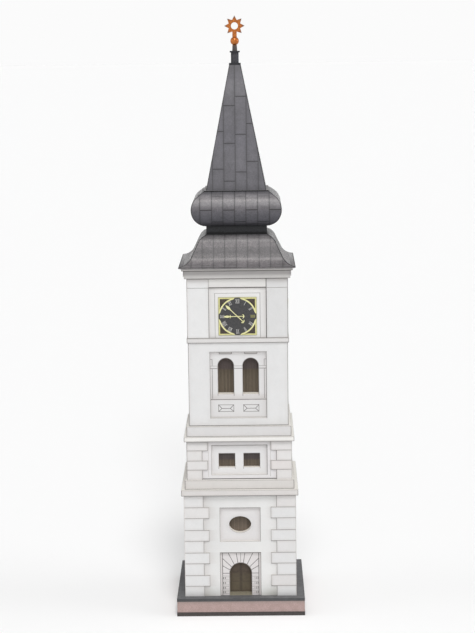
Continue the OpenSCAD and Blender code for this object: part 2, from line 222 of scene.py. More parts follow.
class Card:
    """A procedural printed-card material under construction."""

    def __init__(self, name):
        self.mat = bpy.data.materials.new(name)
        self.mat.use_nodes = True
        self.t = self.mat.node_tree
        self.t.nodes.clear()
        co = self.t.nodes.new("ShaderNodeTexCoord")
        sep = self.t.nodes.new("ShaderNodeSeparateXYZ")
        scale = self.t.nodes.new("ShaderNodeVectorMath")
        scale.operation = "SCALE"
        scale.inputs["Scale"].default_value = 1000.0
        self.t.links.new(co.outputs["Object"], scale.inputs[0])
        self.t.links.new(scale.outputs["Vector"], sep.inputs[0])
        self.mm = scale.outputs["Vector"]
        self.x, self.y, self.z = (Num(self.t, sep.outputs[i]) for i in range(3))
        nsep = self.t.nodes.new("ShaderNodeSeparateXYZ")
        self.t.links.new(co.outputs["Normal"], nsep.inputs[0])
        self.nx, self.ny, self.nz = (Num(self.t, nsep.outputs[i]) for i in range(3))
        self.ax, self.ay = self.x.abs(), self.y.abs()
        # the distance from the middle of whichever of the four faces this is,
        # and the distance of that face from the axis
        self.u = self.ax.min(self.ay)
        self.w = self.ax.max(self.ay)
        self.on_x = self.ax.over(self.ay)
        self._along = None

    @property
    def along(self):
        """Distance along each face, positive to the right as seen from outside."""
        if self._along is None:
            self._along = (1.0 - self.on_x) * self.x * (self.y.sign() * -1.0) + self.on_x * self.y * self.x.sign()
        return self._along

    def noise(self, per_mm, detail=2.0, rough=0.5, offset=0.0, stretch=None):
        """Soft noise from 0 to 1 with a mean of a half."""
        n = self.t.nodes.new("ShaderNodeTexNoise")
        n.noise_dimensions = "3D"
        src = self.mm
        if offset or stretch:
            m = self.t.nodes.new("ShaderNodeMapping")
            m.inputs["Location"].default_value = (offset, offset * 1.7, offset * 0.6)
            if stretch:
                m.inputs["Scale"].default_value = stretch
            self.t.links.new(src, m.inputs["Vector"])
            src = m.outputs["Vector"]
        self.t.links.new(src, n.inputs["Vector"])
        n.inputs["Scale"].default_value = per_mm
        n.inputs["Detail"].default_value = detail
        n.inputs["Roughness"].default_value = rough
        return Num(self.t, n.outputs["Fac"])

    def dice(self, a, b, c):
        """A steady random number from 0 to 1 for each set of whole numbers."""
        comb = self.t.nodes.new("ShaderNodeCombineXYZ")
        for i, v in enumerate((a, b, c)):
            put(self.t, comb.inputs[i], v)
        n = self.t.nodes.new("ShaderNodeTexWhiteNoise")
        n.noise_dimensions = "3D"
        self.t.links.new(comb.outputs[0], n.inputs["Vector"])
        return Num(self.t, n.outputs["Value"])

    def attribute(self, name):
        n = self.t.nodes.new("ShaderNodeAttribute")
        n.attribute_name = name
        return Num(self.t, n.outputs["Fac"])

    def mix(self, f, a, b):
        n = self.t.nodes.new("ShaderNodeMix")
        n.data_type = "RGBA"
        n.clamp_factor = True
        put(self.t, n.inputs[0], f)
        put(self.t, n.inputs[6], a)
        put(self.t, n.inputs[7], b)
        return Num(self.t, n.outputs[2])

    def tone(self, colour, factor):
        """colour made lighter or darker by a factor that may vary."""
        n = self.t.nodes.new("ShaderNodeVectorMath")
        n.operation = "SCALE"
        put(self.t, n.inputs[0], colour)
        put(self.t, n.inputs["Scale"], factor)
        return Num(self.t, n.outputs["Vector"])

    def cast(self, colour, k):
        """colour multiplied channel by channel."""
        n = self.t.nodes.new("ShaderNodeVectorMath")
        n.operation = "MULTIPLY"
        put(self.t, n.inputs[0], colour)
        n.inputs[1].default_value = k
        return Num(self.t, n.outputs["Vector"])

    def by_height(self, stops):
        """A colour that follows (z in mm, colour) stops smoothly."""
        n = self.t.nodes.new("ShaderNodeValToRGB")
        ramp = n.color_ramp
        ramp.interpolation = "EASE"
        z0, z1 = stops[0][0], stops[-1][0]
        put(self.t, n.inputs["Fac"], (self.z - z0) / (z1 - z0))
        while len(ramp.elements) > 1:
            ramp.elements.remove(ramp.elements[-1])
        for k, (z, colour) in enumerate(stops):
            at = (z - z0) / (z1 - z0)
            if k == 0:
                e = ramp.elements[0]
                e.position = at
            else:
                e = ramp.elements.new(at)
            e.color = (*srgb(*colour), 1.0)
        return Num(self.t, n.outputs["Color"])

    def done(self, colour, rough=0.6, bump=None, bump_mm=0.02, specular=0.35, rough_var=None, **more):
        b = self.t.nodes.new("ShaderNodeBsdfPrincipled")
        out = self.t.nodes.new("ShaderNodeOutputMaterial")
        put(self.t, b.inputs["Base Color"], colour)
        if rough_var is None:
            b.inputs["Roughness"].default_value = rough
        else:
            put(self.t, b.inputs["Roughness"], rough_var)
        b.inputs["Specular IOR Level"].default_value = specular
        for k, v in more.items():
            put(self.t, b.inputs[k], v)
        if bump is not None:
            n = self.t.nodes.new("ShaderNodeBump")
            n.inputs["Strength"].default_value = 1.0
            n.inputs["Distance"].default_value = bump_mm * MM
            put(self.t, n.inputs["Height"], bump)
            self.t.links.new(n.outputs["Normal"], b.inputs["Normal"])
        self.t.links.new(b.outputs[0], out.inputs["Surface"])
        return self.mat


# --------------------------------------------------------------------------
# the print's common ways
# --------------------------------------------------------------------------
WHITE = srgb(230, 230, 230)
# CREAM is the unprinted card; card_surface also lays it on upward faces as painted top light
CREAM = srgb(244, 241, 235)
REVEAL = srgb(226, 214, 199)


def card_surface(c, colour, shade=1.0, warm=None, green=None, top_light=True, clouds=0.030):
    """Adds what every printed card here has: faint clouds, a grain, a warm or
    green-grey cast where asked, and cream on upward faces, partly the unprinted card and partly painted top light."""
    cloud = c.noise(0.16, 3.0, 0.55)
    grain = c.noise(1.2, 2.0, 0.6, offset=4.0)
    f = (cloud - 0.5) * clouds * 2.0 + (grain - 0.5) * 0.06 + 1.0
    col = c.tone(colour, f * shade)
    hue = c.noise(0.35, 2.0, 0.5, offset=11.0).ramp(0.40, 0.62)
    col = c.mix(hue * 0.30, col, c.cast(col, (1.004, 0.988, 0.984)))
    if warm is not None:
        col = c.mix(warm, col, c.cast(col, (1.0, 0.962, 0.945)))
    if green is not None:
        col = c.mix(green, col, c.cast(col, (0.95, 0.955, 0.915)))
    # upward faces turn cream: partly the unprinted card, partly painted top light
    if top_light:
        col = c.mix(c.nz.ramp(0.5, 0.8), col, CREAM)
    return col


def paper_bump(c):
    return c.noise(3.0, 3.0, 0.6, offset=2.0)


def quoin_material(name, half_w, z0, course, short, long_, foot_z, strength=0.085, foot_dark=0.0, base=WHITE, under=None):
    """Corner stones: each course has its own faint tint, soft grey edges and a lighter middle; where under is given,
    painted shadow darkens the stones just below that height.
    """
    c = Card(name)
    t = (c.z - z0) / course
    i = t.floor()
    f = t - i
    odd = i.mod2()
    length = odd * (long_ - short) + short
    d_z = f.min(1.0 - f) * course
    d_in = length - (half_w - c.u)
    d_out = half_w - c.u + 0.35
    edge = d_z.fade(1.7).max(d_in.fade(2.0)).max(d_out.fade(1.5) * 0.7)
    die = c.dice(i, c.x.sign(), c.y.sign() + c.on_x * 3.0)
    blot = c.noise(0.30, 2.0, 0.5, offset=31.0)
    shade = 1.0 - edge * strength - (die * 0.022) - blot.ramp(0.5, 0.75) * 0.02
    if foot_dark:
        shade = shade * (1.0 - (c.z - foot_z).fade(3.6) * foot_dark)
    if under is None:
        shade = shade * c.along.ramp(-14.0, 14.0, 0.99, 0.965)
    # painted shadow of the cornice above: the stones darken in the 2.4 mm below under, more on the left
    if under is not None:
        shade = shade * (1.0 - (under - c.z).ramp(0.0, 2.4, 1.0, 0.0, smooth=False) * c.along.ramp(-14.0, 14.0, 0.30, 0.15))
        shade = shade * c.along.ramp(-14.0, 14.0, 0.99, 1.0)
    warm = edge * 0.55 + die.ramp(0.45, 1.0) * 0.55
    col = card_surface(c, base, shade, warm=warm)
    return c.done(col, 0.62, paper_bump(c))


def panel_material(name, half_w, z0, z1, face, strength=0.10, reach=3.2, base=WHITE, extra=None, warm_low=None, core=0.0, reveal=REVEAL, sill=None):
    """A sheet with soft grey airbrushing along its own edges, and cream card where openings are cut through it; the cut
    card is painted darker deeper in, as painted shade, and below sill it is painted near white, as painted light on the
    sill.
    """
    c = Card(name)
    d = (half_w - c.u).min(c.z - z0).min(z1 - c.z)
    edge = d.fade(reach)
    shade = 1.0 - edge * strength
    if core:
        shade = shade * (1.0 - d.fade(reach * 0.33) * core)
    warm = edge * 0.5
    if extra is not None:
        shade = shade * extra(c)
    if warm_low is not None:
        warm = warm + warm_low(c)
    col = card_surface(c, base, shade, warm=warm)
    inside = (face - c.w).ramp(0.06, 0.16)
    # painted shade: the cut card darkens deeper into the opening
    cut = c.tone(reveal, 1.0 - (face - c.w).ramp(0.2, 3.0) * 0.12)
    # painted light: below sill the cut card is near white, as a brightly lit sill
    if sill is not None:
        cut = c.mix(c.z.under(sill), cut, srgb(252, 247, 239))
    col = c.mix(inside, col, cut)
    return c.done(col, 0.62, paper_bump(c))


def band_material(name, z0, z1, half_w, base, strength=0.07, painted_top_highlight=0.02):
    c = Card(name)
    d = (half_w - c.u).min(c.z - z0).min(z1 - c.z)
    edge = d.fade(1.6)
    up = ((c.z - z0) / (z1 - z0)).ramp(0.0, 1.0)
    blot = c.noise(0.22, 2.0, 0.5, offset=17.0)
    # lighter towards the top: a painted highlight along the band's upper part
    shade = 1.0 - edge * strength + up * painted_top_highlight - blot.ramp(0.5, 0.75) * 0.03
    col = card_surface(c, base, shade, warm=edge * 0.35 + 0.10)
    return c.done(col, 0.62, paper_bump(c))


def assign(node, material):
    o = NODES[node]
    o.data.materials.clear()
    o.data.materials.append(material)


# --------------------------------------------------------------------------
# closed solids laid on the four faces
# --------------------------------------------------------------------------
class Solids:
    """Collects thin closed solids, each repeated on the tower's four faces."""

    def __init__(self):
        self.v, self.f, self.tint, self.n = [], [], [], 0

    def spin(self, pts, k):
        """Points (u, distance from the axis, z) in mm on face k, in metres."""
        ca, sa = (1, 0, -1, 0)[k], (0, 1, 0, -1)[k]
        return [((ca * u + sa * d) * MM, (sa * u - ca * d) * MM, z * MM) for u, d, z in pts]

    def plate(self, pts, out, inn, sides=(0, 1, 2, 3), tint=0.0):
        """pts is an outline in (u, z), between the planes out and inn from the axis."""
        n = len(pts)
        area = sum(pts[i][0] * pts[(i + 1) % n][1] - pts[(i + 1) % n][0] * pts[i][1] for i in range(n))
        if area < 0:
            pts = pts[::-1]
        for k in sides:
            base = len(self.v)
            self.v += self.spin([(u, out, z) for u, z in pts], k) + self.spin([(u, inn, z) for u, z in pts], k)
            self.tint += [tint] * (2 * n)
            self.f.append([base + i for i in range(n)])
            self.f.append([base + n + i for i in range(n - 1, -1, -1)])
            for i in range(n):
                j = (i + 1) % n
                self.f.append([base + i, base + n + i, base + n + j, base + j])

    def line(self, a, b, width, face, ink=140, sides=(0, 1, 2, 3), proud=None):
        """A printed stroke from a to b on the plane face; ink is its grey, 0 to 255."""
        self.n += 1
        if proud is None:
            proud = 0.018 + 0.0013 * (self.n % 9)
        dx, dz = b[0] - a[0], b[1] - a[1]
        length = math.hypot(dx, dz)
        nx, nz = -dz / length * width / 2, dx / length * width / 2
        self.plate([(a[0] - nx, a[1] - nz), (b[0] - nx, b[1] - nz), (b[0] + nx, b[1] + nz), (a[0] + nx, a[1] + nz)],
                   face + proud, face - 0.05, sides, tint=grey(ink))

    def both(self, a, b, width, face, ink=140, ink_r=None):
        """The stroke and its mirror image; the right one may have its own strength."""
        self.line((-a[0], a[1]), (-b[0], b[1]), width, face, ink)
        self.line(a, b, width, face, ink if ink_r is None else ink_r)

    def rect(self, u0, z0, u1, z1, width, face, ink=140):
        """The outline of a rectangle, its strokes inside it."""
        h = width / 2
        self.line((u0, z0 + h), (u1, z0 + h), width, face, ink)
        self.line((u0, z1 - h), (u1, z1 - h), width, face, ink)
        self.line((u0 + h, z0 + width), (u0 + h, z1 - width), width, face, ink)
        self.line((u1 - h, z0 + width), (u1 - h, z1 - width), width, face, ink)

    def box(self, lo, hi, sides=(0, 1, 2, 3), tint=0.0):
        """A box by its corners (u, distance from the axis, z)."""
        self.plate([(lo[0], lo[2]), (hi[0], lo[2]), (hi[0], hi[2]), (lo[0], hi[2])], hi[1], lo[1], sides, tint)

    def ribbon(self, prof, s0, s1, lo, hi, ink, proud=0.03, sides=(0, 1, 2, 3)):
        """A stroke that follows a roof profile from arc length s0 to s1, between lo and hi across
        the face (numbers, or functions of the half width), cut off at the hips."""
        pts = cut(prof, s0, s1)
        rows = []
        for (r, z), (nr, nz) in zip(pts, normals(pts)):
            a = lo(r) if callable(lo) else max(lo, -r)
            b = hi(r) if callable(hi) else min(hi, r)
            if b - a < 0.03:
                if rows:
                    break
                continue
            rows.append([(a, r + nr * proud, z + nz * proud), (b, r + nr * proud, z + nz * proud),
                         (b, r - nr * 0.06, z - nz * 0.06), (a, r - nr * 0.06, z - nz * 0.06)])
        if len(rows) < 2:
            return
        for k in sides:
            base = len(self.v)
            for row in rows:
                self.v += self.spin(row, k)
                self.tint += [grey(ink)] * 4
            for i in range(len(rows) - 1):
                p, q = base + 4 * i, base + 4 * i + 4
                for j in range(4):
                    m = (j + 1) % 4
                    self.f.append([p + j, p + m, q + m, q + j])
            e = base + 4 * (len(rows) - 1)
            self.f.append([base + 3, base + 2, base + 1, base])
            self.f.append([e, e + 1, e + 2, e + 3])

    def build(self, name, material, slot, smooth=False):
        me = bpy.data.meshes.new(name)
        me.from_pydata(self.v, [], self.f)
        me.update()
        at = me.attributes.new("tint", "FLOAT", "POINT")
        at.data.foreach_set("value", np.array(self.tint, np.float32))
        me.materials.append(material)
        ob = bpy.data.objects.new(name, me)
        bpy.context.scene.collection.objects.link(ob)
        if smooth:
            for p in me.polygons:
                p.use_smooth = True
        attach(ob, "root")
        return ob


def cut(prof, s0, s1):
    """The stretch of a profile between two arc lengths."""
    out, s = [], 0.0
    for (r0, z0), (r1, z1) in zip(prof, prof[1:]):
        d = math.hypot(r1 - r0, z1 - z0)
        if d < 1e-9:
            continue
        a, b = max(s0, s), min(s1, s + d)
        if b > a:
            if not out:
                t = (a - s) / d
                out.append((r0 + (r1 - r0) * t, z0 + (z1 - z0) * t))
            t = (b - s) / d
            out.append((r0 + (r1 - r0) * t, z0 + (z1 - z0) * t))
        s += d
    return out


def normals(pts):
    """Outward normals of a profile that runs upwards."""
    out = []
    for i in range(len(pts)):
        a, b = pts[max(0, i - 1)], pts[min(len(pts) - 1, i + 1)]
        d = math.hypot(b[0] - a[0], b[1] - a[1])
        out.append(((b[1] - a[1]) / d, -(b[0] - a[0]) / d))
    return out


def arc_at(prof, z):
    """Arc length at which a profile first reaches the height z."""
    s = 0.0
    for (r0, z0), (r1, z1) in zip(prof, prof[1:]):
        d = math.hypot(r1 - r0, z1 - z0)
        if min(z0, z1) <= z <= max(z0, z1) and abs(z1 - z0) > 1e-9:
            return s + d * (z - z0) / (z1 - z0)
        s += d
    return s


def arc_length(prof):
    return sum(math.hypot(b[0] - a[0], b[1] - a[1]) for a, b in zip(prof, prof[1:]))


def mesh_piece(name, verts, faces, material, smooth_angle=None):
    me = bpy.data.meshes.new(name)
    me.from_pydata([tuple(v) for v in verts], [], faces)
    me.update()
    me.materials.append(material)
    ob = bpy.data.objects.new(name, me)
    bpy.context.scene.collection.objects.link(ob)
    if smooth_angle is not None:
        me.polygons.foreach_set("use_smooth", [True] * len(me.polygons))
        me.set_sharp_from_angle(angle=math.radians(smooth_angle))
    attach(ob, "root")
    return ob


# --------------------------------------------------------------------------
# ink: thin printed strokes, each with its own strength
# --------------------------------------------------------------------------
def ink_material(name, hue, var=0.15):
    c = Card(name)
    f = c.noise(0.7, 2.0, 0.6, offset=7.0)
    col = c.tone(hue, c.attribute("tint") * ((f - 0.5) * var * 2.0 + 1.0))
    return c.done(col, 0.7, paper_bump(c), bump_mm=0.01)


INK = ink_material("ink_brown_grey", (1.03, 0.985, 0.95))
INK_ROOF = ink_material("ink_black", (1.0, 0.99, 1.0), 0.25)


# ==========================================================================
# base box
# ==========================================================================
def base_materials():
    c = Card("print_foot")
    n = c.noise(0.9, 3.0, 0.6)
    m = c.noise(5.0, 2.0, 0.6, offset=3.0)
    col = c.mix(n.ramp(0.3, 0.7), srgb(67, 63, 61), srgb(78, 73, 71))
    col = c.tone(col, (m - 0.5) * 0.35 + 1.0)
    col = c.tone(col, 1.0 - (FOOT_TOP - c.z).fade(0.9) * 0.25)
    assign("base_foot", c.done(col, 0.7, paper_bump(c)))

    c = Card("print_rose")
    n = c.noise(0.30, 3.0, 0.6)
    m = c.noise(2.4, 3.0, 0.65, offset=9.0)
    k = c.noise(1.0, 3.0, 0.7, offset=15.0)
    col = c.mix(n.ramp(0.3, 0.7), srgb(172, 149, 144), srgb(184, 159, 155))
    col = c.mix(m.ramp(0.50, 0.68) * 0.8, col, srgb(157, 137, 130))
    col = c.mix(m.ramp(0.30, 0.46, 1.0, 0.0) * 0.7, col, srgb(206, 181, 175))
    # greyer, rougher print along the top, where the deck's ink has run over
    edge = (ROSE_TOP - c.z + (k - 0.5) * 1.6).fade(2.6)
    col = c.mix(edge * 0.75, col, srgb(146, 134, 128))
    col = c.tone(col, 1.0 - (c.z - FOOT_TOP).fade(0.8) * 0.12)
    col = c.tone(col, 1.0 - (BASE - c.u).fade(1.4) * 0.10)
    assign("base_sides", c.done(col, 0.66, paper_bump(c)))

    c = Card("print_slate")
    n = c.noise(0.45, 3.0, 0.6)
    m = c.noise(3.0, 2.0, 0.6, offset=5.0)
    k = c.noise(0.8, 3.0, 0.7, offset=25.0)
    col = c.mix(n.ramp(0.3, 0.7), srgb(97, 97, 98), srgb(109, 109, 111))
    col = c.tone(col, (m - 0.5) * 0.40 + 1.0)
    # darker to the left and lighter to the right across the whole deck: painted shade and painted light
    col = c.tone(col, c.x.ramp(-30.0, 30.0, 0.95, 1.08))
    # the sheet's cut edge is inked nearly black by hand
    rim = (DECK_HALF - c.w + (k - 0.5) * 0.7).ramp(0.0, 0.55, 1.0, 0.0)
    col = c.mix(rim * 0.65, col, srgb(56, 56, 58))
    assign("base_deck", c.done(col, 0.55, paper_bump(c), bump_mm=0.03))


base_materials()


# ==========================================================================
# ground storey
# ==========================================================================
def ground_storey():
    assign("ground_quoins", quoin_material("print_ground_quoins", G_QUOIN, G_Z0, G_CH, G_SHORT, G_LONG, DECK, foot_dark=0.22))

    c = Card("print_ground_field")
    odd = ((c.z - G_Z0) / G_CH).floor().mod2()
    stone = odd * (G_LONG - G_SHORT) + G_SHORT
    side = (G_QUOIN - stone - c.u).fade(6.5) * c.along.sign().ramp(-1.0, 1.0, 1.6, 0.8)
    low = (c.z - DECK).fade(9.0)
    high = (G_TOP - c.z).fade(7.0)
    beside_door = (c.u - DOOR_W).max(0.0).fade(2.0) * c.z.under(DOOR_TOP)
    blot = c.noise(0.25, 2.0, 0.5, offset=12.0)
    corner = low * (c.u.ramp(9.0, 19.0) * 0.7 + 0.3) * c.along.ramp(0.0, 14.0, 1.0, 1.9)
    shade = (1.0 - side * 0.055) * (1.0 - corner * (blot * 0.20 + 0.12)) * (1.0 - high * 0.09) * (1.0 - beside_door * 0.02)
    shade = shade * c.along.ramp(-18.0, -7.0, 0.955, 1.0) * c.along.ramp(0.0, 12.0, 1.0, 1.02) * c.z.ramp(DECK + 10.0, DECK + 28.0, 1.012, 0.975)
    col = card_surface(c, srgb(232, 232, 231), shade, warm=side * 0.40 + (c.z - DECK).fade(4.0) * 0.5, green=corner * 0.9)
    assign("ground_walls", c.done(col, 0.62, paper_bump(c)))

    def around_oval(c):
        e = ((c.u / (OVAL_A + 0.1)).power(2.0) + ((c.z - OVAL_Z) / (OVAL_B + 0.1)).power(2.0)).power(0.5)
        return e.ramp(1.0, 1.5, 0.94, 1.0)

    m = panel_material("print_oval_panel", PANEL_W, PANEL_Z0, PANEL_Z1, G_PANEL, 0.065, 3.4, srgb(227, 225, 225), extra=around_oval, sill=OVAL_Z - 0.5)
    assign("ground_window_panels", m)

    m = panel_material("print_door_surround", DOOR_W, DECK - 3.0, DOOR_TOP, G_PANEL, 0.08, 1.8, srgb(226, 223, 223),
                       extra=lambda c: 1.0 - (c.z - DECK).fade(6.0) * 0.10, warm_low=lambda c: c.z.ramp(DECK, DOOR_SPRING, 0.7, 0.2))
    assign("door_surrounds", m)

    # joints of the corner stones
    s = Solids()
    w = 0.30
    lines = [i for i in range(1, 10) if G_Z0 + i * G_CH < G_TOP - 0.2]
    for i in lines:
        z = G_Z0 + i * G_CH
        longer_below = (i - 1) % 2 == 1
        zc = z - w / 2 if longer_below else z + w / 2
        s.both((G_QUOIN - G_LONG, zc), (G_QUOIN, zc), w, G_QUOIN, 158, 154)
    for i in range(9):
        length = G_LONG if i % 2 else G_SHORT
        u = G_QUOIN - length + 0.12
        a, b = max(DECK, G_Z0 + i * G_CH), min(G_TOP, G_Z0 + (i + 1) * G_CH)
        s.both((u, a), (u, b), 0.24, G_QUOIN, 185 if i % 2 else 158, 175 if i % 2 else 150)
    s.both((G_QUOIN - 0.12, DECK), (G_QUOIN - 0.12, G_TOP), 0.24, G_QUOIN, 214, 196)
    s.build("ground_quoin_joints", INK, "wall_card")

    # outlines of the two sunk panels
    s = Solids()
    s.line((-PANEL_W, PANEL_Z1 + 0.12), (PANEL_W, PANEL_Z1 + 0.12), 0.24, G_WALL, 150)
    s.line((-PANEL_W, PANEL_Z0 - 0.12), (PANEL_W, PANEL_Z0 - 0.12), 0.24, G_WALL, 188)
    s.both((PANEL_W + 0.12, PANEL_Z0 - 0.24), (PANEL_W + 0.12, PANEL_Z1 + 0.24), 0.24, G_WALL, 178, 148)
    s.line((-DOOR_W, DOOR_TOP + 0.12), (DOOR_W, DOOR_TOP + 0.12), 0.24, G_WALL, 150)
    s.both((DOOR_W + 0.12, DECK), (DOOR_W + 0.12, DOOR_TOP + 0.24), 0.24, G_WALL, 150, 140)
    # a soft line under the oval's lower lip
    n = 18
    for i in range(n):
        a0, a1 = math.radians(-158 + 136 * i / n), math.radians(-158 + 136 * (i + 1) / n)
        s.line(((OVAL_A + 0.16) * math.cos(a0), OVAL_Z + (OVAL_B + 0.16) * math.sin(a0)), ((OVAL_A + 0.16) * math.cos(a1), OVAL_Z + (OVAL_B + 0.16) * math.sin(a1)), 0.24, G_PANEL, 186)
    s.build("ground_panel_outlines", INK, "wall_card")

    # the door surround: frame, fanned arch stones and banded jambs
    s = Solids()
    f = G_PANEL
    w = 0.32
    fr = 9.48
    s.line((-DOOR_W, DOOR_TOP - 0.25), (DOOR_W, DOOR_TOP - 0.25), 0.5, f, 140)
    s.both((fr, DECK), (fr, DOOR_TOP - 0.3), 0.34, f, 122, 112)
    s.both((2.30, DOOR_TOP - 0.3), (1.42, DOOR_SPRING + math.sqrt(DOOR_HALF ** 2 - 1.42 ** 2) + 0.1), w, f, 120)
    s.line((0.0, DOOR_TOP - 0.3), (0.0, DOOR_SPRING + DOOR_HALF + 0.5), 0.26, f, 150)
    fans = (((6.5, DOOR_TOP - 0.3), 56.0), ((fr, DOOR_TOP - 3.3), 37.0), ((fr, DOOR_TOP - 7.3), 18.5))
    for p, ang in fans:
        a = math.radians(ang)
        s.both(p, (DOOR_HALF * math.cos(a) + 0.12, DOOR_SPRING + DOOR_HALF * math.sin(a) + 0.05), w, f, 118)
    s.both((fr, DOOR_SPRING + 0.1), (DOOR_HALF + 0.02, DOOR_SPRING + 0.1), w, f, 118)
    n = 18
    for i in range(n):
        a0, a1 = math.pi * i / n, math.pi * (i + 1) / n
        r = DOOR_HALF + 0.14
        s.line((r * math.cos(a0), DOOR_SPRING + r * math.sin(a0)), (r * math.cos(a1), DOOR_SPRING + r * math.sin(a1)), 0.22, f, 150)
    s.build("door_arch_joints", INK, "wall_card")

    s = Solids()
    for zb in (DECK + 0.95, DECK + 3.35, DECK + 5.95, DECK + 8.65):
        za = zb + 1.25
        for z, g in ((za, 160), (zb, 172)):
            s.both((fr, z), (DOOR_HALF + 0.02, z), 0.22, f, g)
        for u, g in ((8.98, 120), (8.1, 134)):
            s.both((u, zb + 0.14), (u, za - 0.14), 0.38, f, g, g + 14)
        s.line((6.9, zb + 0.62), (7.6, zb + 0.62), 0.2, f, 160)
    for z in (DECK + 2.75, DECK + 5.25, DECK + 7.95, DECK + 10.75):
        s.both((fr, z), (DOOR_HALF + 0.02, z), 0.18, f, 186)
    s.both((DOOR_HALF + 0.13, DECK), (DOOR_HALF + 0.13, DOOR_SPRING), 0.22, f, 150)
    s.build("door_jamb_bands", INK, "wall_card")


ground_storey()


# ==========================================================================
# cornices and attic bands
# ==========================================================================
def bands():
    assign("ground_cornice", band_material("print_cornice_1", G_TOP, C1_TOP, C1, srgb(219, 216, 214)))
    assign("ground_attic_band", band_material("print_attic_1", C1_TOP, A1_TOP, A1, srgb(218, 215, 212)))
    assign("second_cornice", band_material("print_cornice_2", M_TOP, C2_TOP, C2, srgb(235, 234, 231), 0.03, 0.08))
    assign("second_attic_band", band_material("print_attic_2", C2_TOP, A2_TOP, A2, srgb(220, 219, 219)))
    assign("string_course", band_material("print_string", B_TOP, S_TOP, S_HALF, srgb(222, 221, 220)))
    s = Solids()
    #      z0      z1      half    top  bottom left right
    for z0, z1, h, gt, gb, gl, gr in (
            (G_TOP, C1_TOP, C1, 176, 120, 128, 158),
            (C1_TOP, A1_TOP, A1, 170, 122, 150, 128),
            (M_TOP, C2_TOP, C2, 180, 150, 138, 160),
            (C2_TOP, A2_TOP, A2, 176, 128, 148, 140),
            (B_TOP, S_TOP, S_HALF, 166, 128, 140, 150)):
        s.line((-h, z1 - 0.11), (h, z1 - 0.11), 0.22, h, gt)
        s.line((-h, z0 + 0.13), (h, z0 + 0.13), 0.26, h, gb)
        s.both((h - 0.13, z0 + 0.26), (h - 0.13, z1 - 0.22), 0.26, h, gl, gr)
    s.build("moulding_edges", INK, "trim_card")


bands()


# ==========================================================================
# second storey
# ==========================================================================
def second_storey():
    assign("second_quoins", quoin_material("print_second_quoins", M_QUOIN, A1_TOP, M_CH, M_SHORT, M_LONG, A1_TOP, foot_dark=0.05, base=srgb(229, 227, 226), under=M_TOP))

    c = Card("print_second_field")
    odd = ((c.z - A1_TOP) / M_CH).floor().mod2()
    stone = odd * (M_LONG - M_SHORT) + M_SHORT
    side = (M_QUOIN - stone - c.u).fade(2.6)
    ends = (M_TOP - c.z).fade(3.0).max((c.z - A1_TOP).fade(2.2))
    around = (c.u - MP_W).max(MP_Z0 - c.z).max(c.z - MP_Z1).fade(1.6)
    # painted shadow of the cornice on the wall just below it
    under = (M_TOP - c.z).ramp(0.0, 2.6, 1.0, 0.0, smooth=False)
    shade = (1.0 - side * 0.06) * (1.0 - ends * 0.07) * (1.0 - around * 0.03) * (1.0 - under * 0.16)
    col = card_surface(c, srgb(231, 229, 230), shade, warm=side * 0.45 + ends * 0.3 + around * 0.2)
    assign("second_walls", c.done(col, 0.62, paper_bump(c)))
    m = panel_material("print_second_panel", MP_W, MP_Z0, MP_Z1, M_PANEL, 0.055, 3.0, srgb(230, 229, 229), sill=MW_Z0 + 0.2)
    assign("second_window_panels", m)

    s = Solids()
    w = 0.30
    for i in range(1, 4):
        z = A1_TOP + i * M_CH
        longer_below = (i - 1) % 2 == 1
        zc = z - w / 2 if longer_below else z + w / 2
        s.both((M_QUOIN - M_LONG, zc), (M_QUOIN, zc), w, M_QUOIN, 156, 152)
    for i in range(4):
        length = M_LONG if i % 2 else M_SHORT
        u = M_QUOIN - length + 0.12
        s.both((u, A1_TOP + i * M_CH), (u, A1_TOP + (i + 1) * M_CH), 0.24, M_QUOIN, 168 if i % 2 else 150, 160 if i % 2 else 118)
    s.both((M_QUOIN - 0.12, A1_TOP), (M_QUOIN - 0.12, M_TOP), 0.24, M_QUOIN, 140, 186)
    s.build("second_quoin_joints", INK, "wall_card")

    s = Solids()
    s.line((-MP_W, MP_Z1 + 0.14), (MP_W, MP_Z1 + 0.14), 0.28, M_WALL, 128)
    s.line((-MP_W, MP_Z0 - 0.12), (MP_W, MP_Z0 - 0.12), 0.24, M_WALL, 185)
    s.both((MP_W + 0.13, MP_Z0 - 0.24), (MP_W + 0.13, MP_Z1 + 0.24), 0.26, M_WALL, 184, 112)
    s.both((MP_W + 1.75, MP_Z0 - 1.1), (MP_W + 1.75, M_TOP), 0.22, M_WALL, 200, 192)
    # a dark stroke along the field's foot: painted shadow in the gap above the attic band
    s.line((-(M_QUOIN - M_SHORT), A1_TOP + 0.4), (M_QUOIN - M_SHORT, A1_TOP + 0.4), 0.4, M_WALL, 84)
    # little ticks under the windows' corners
    for sg in (-1, 1):
        for e in (-1, 1):
            u = sg * MW_X + e * (MW_W / 2 + 0.10)
            s.line((u, MW_Z0 - 0.75), (u, MW_Z0 + 0.15), 0.24, M_PANEL, 150)
            s.line((u, MW_Z0 + 0.15), (u, MW_Z1 + 0.1), 0.18, M_PANEL, 176)
        s.line((sg * MW_X - MW_W / 2 - 0.1, MW_Z1 + 0.1), (sg * MW_X + MW_W / 2 + 0.1, MW_Z1 + 0.1), 0.2, M_PANEL, 150)
    s.build("second_storey_outlines", INK, "wall_card")


second_storey()


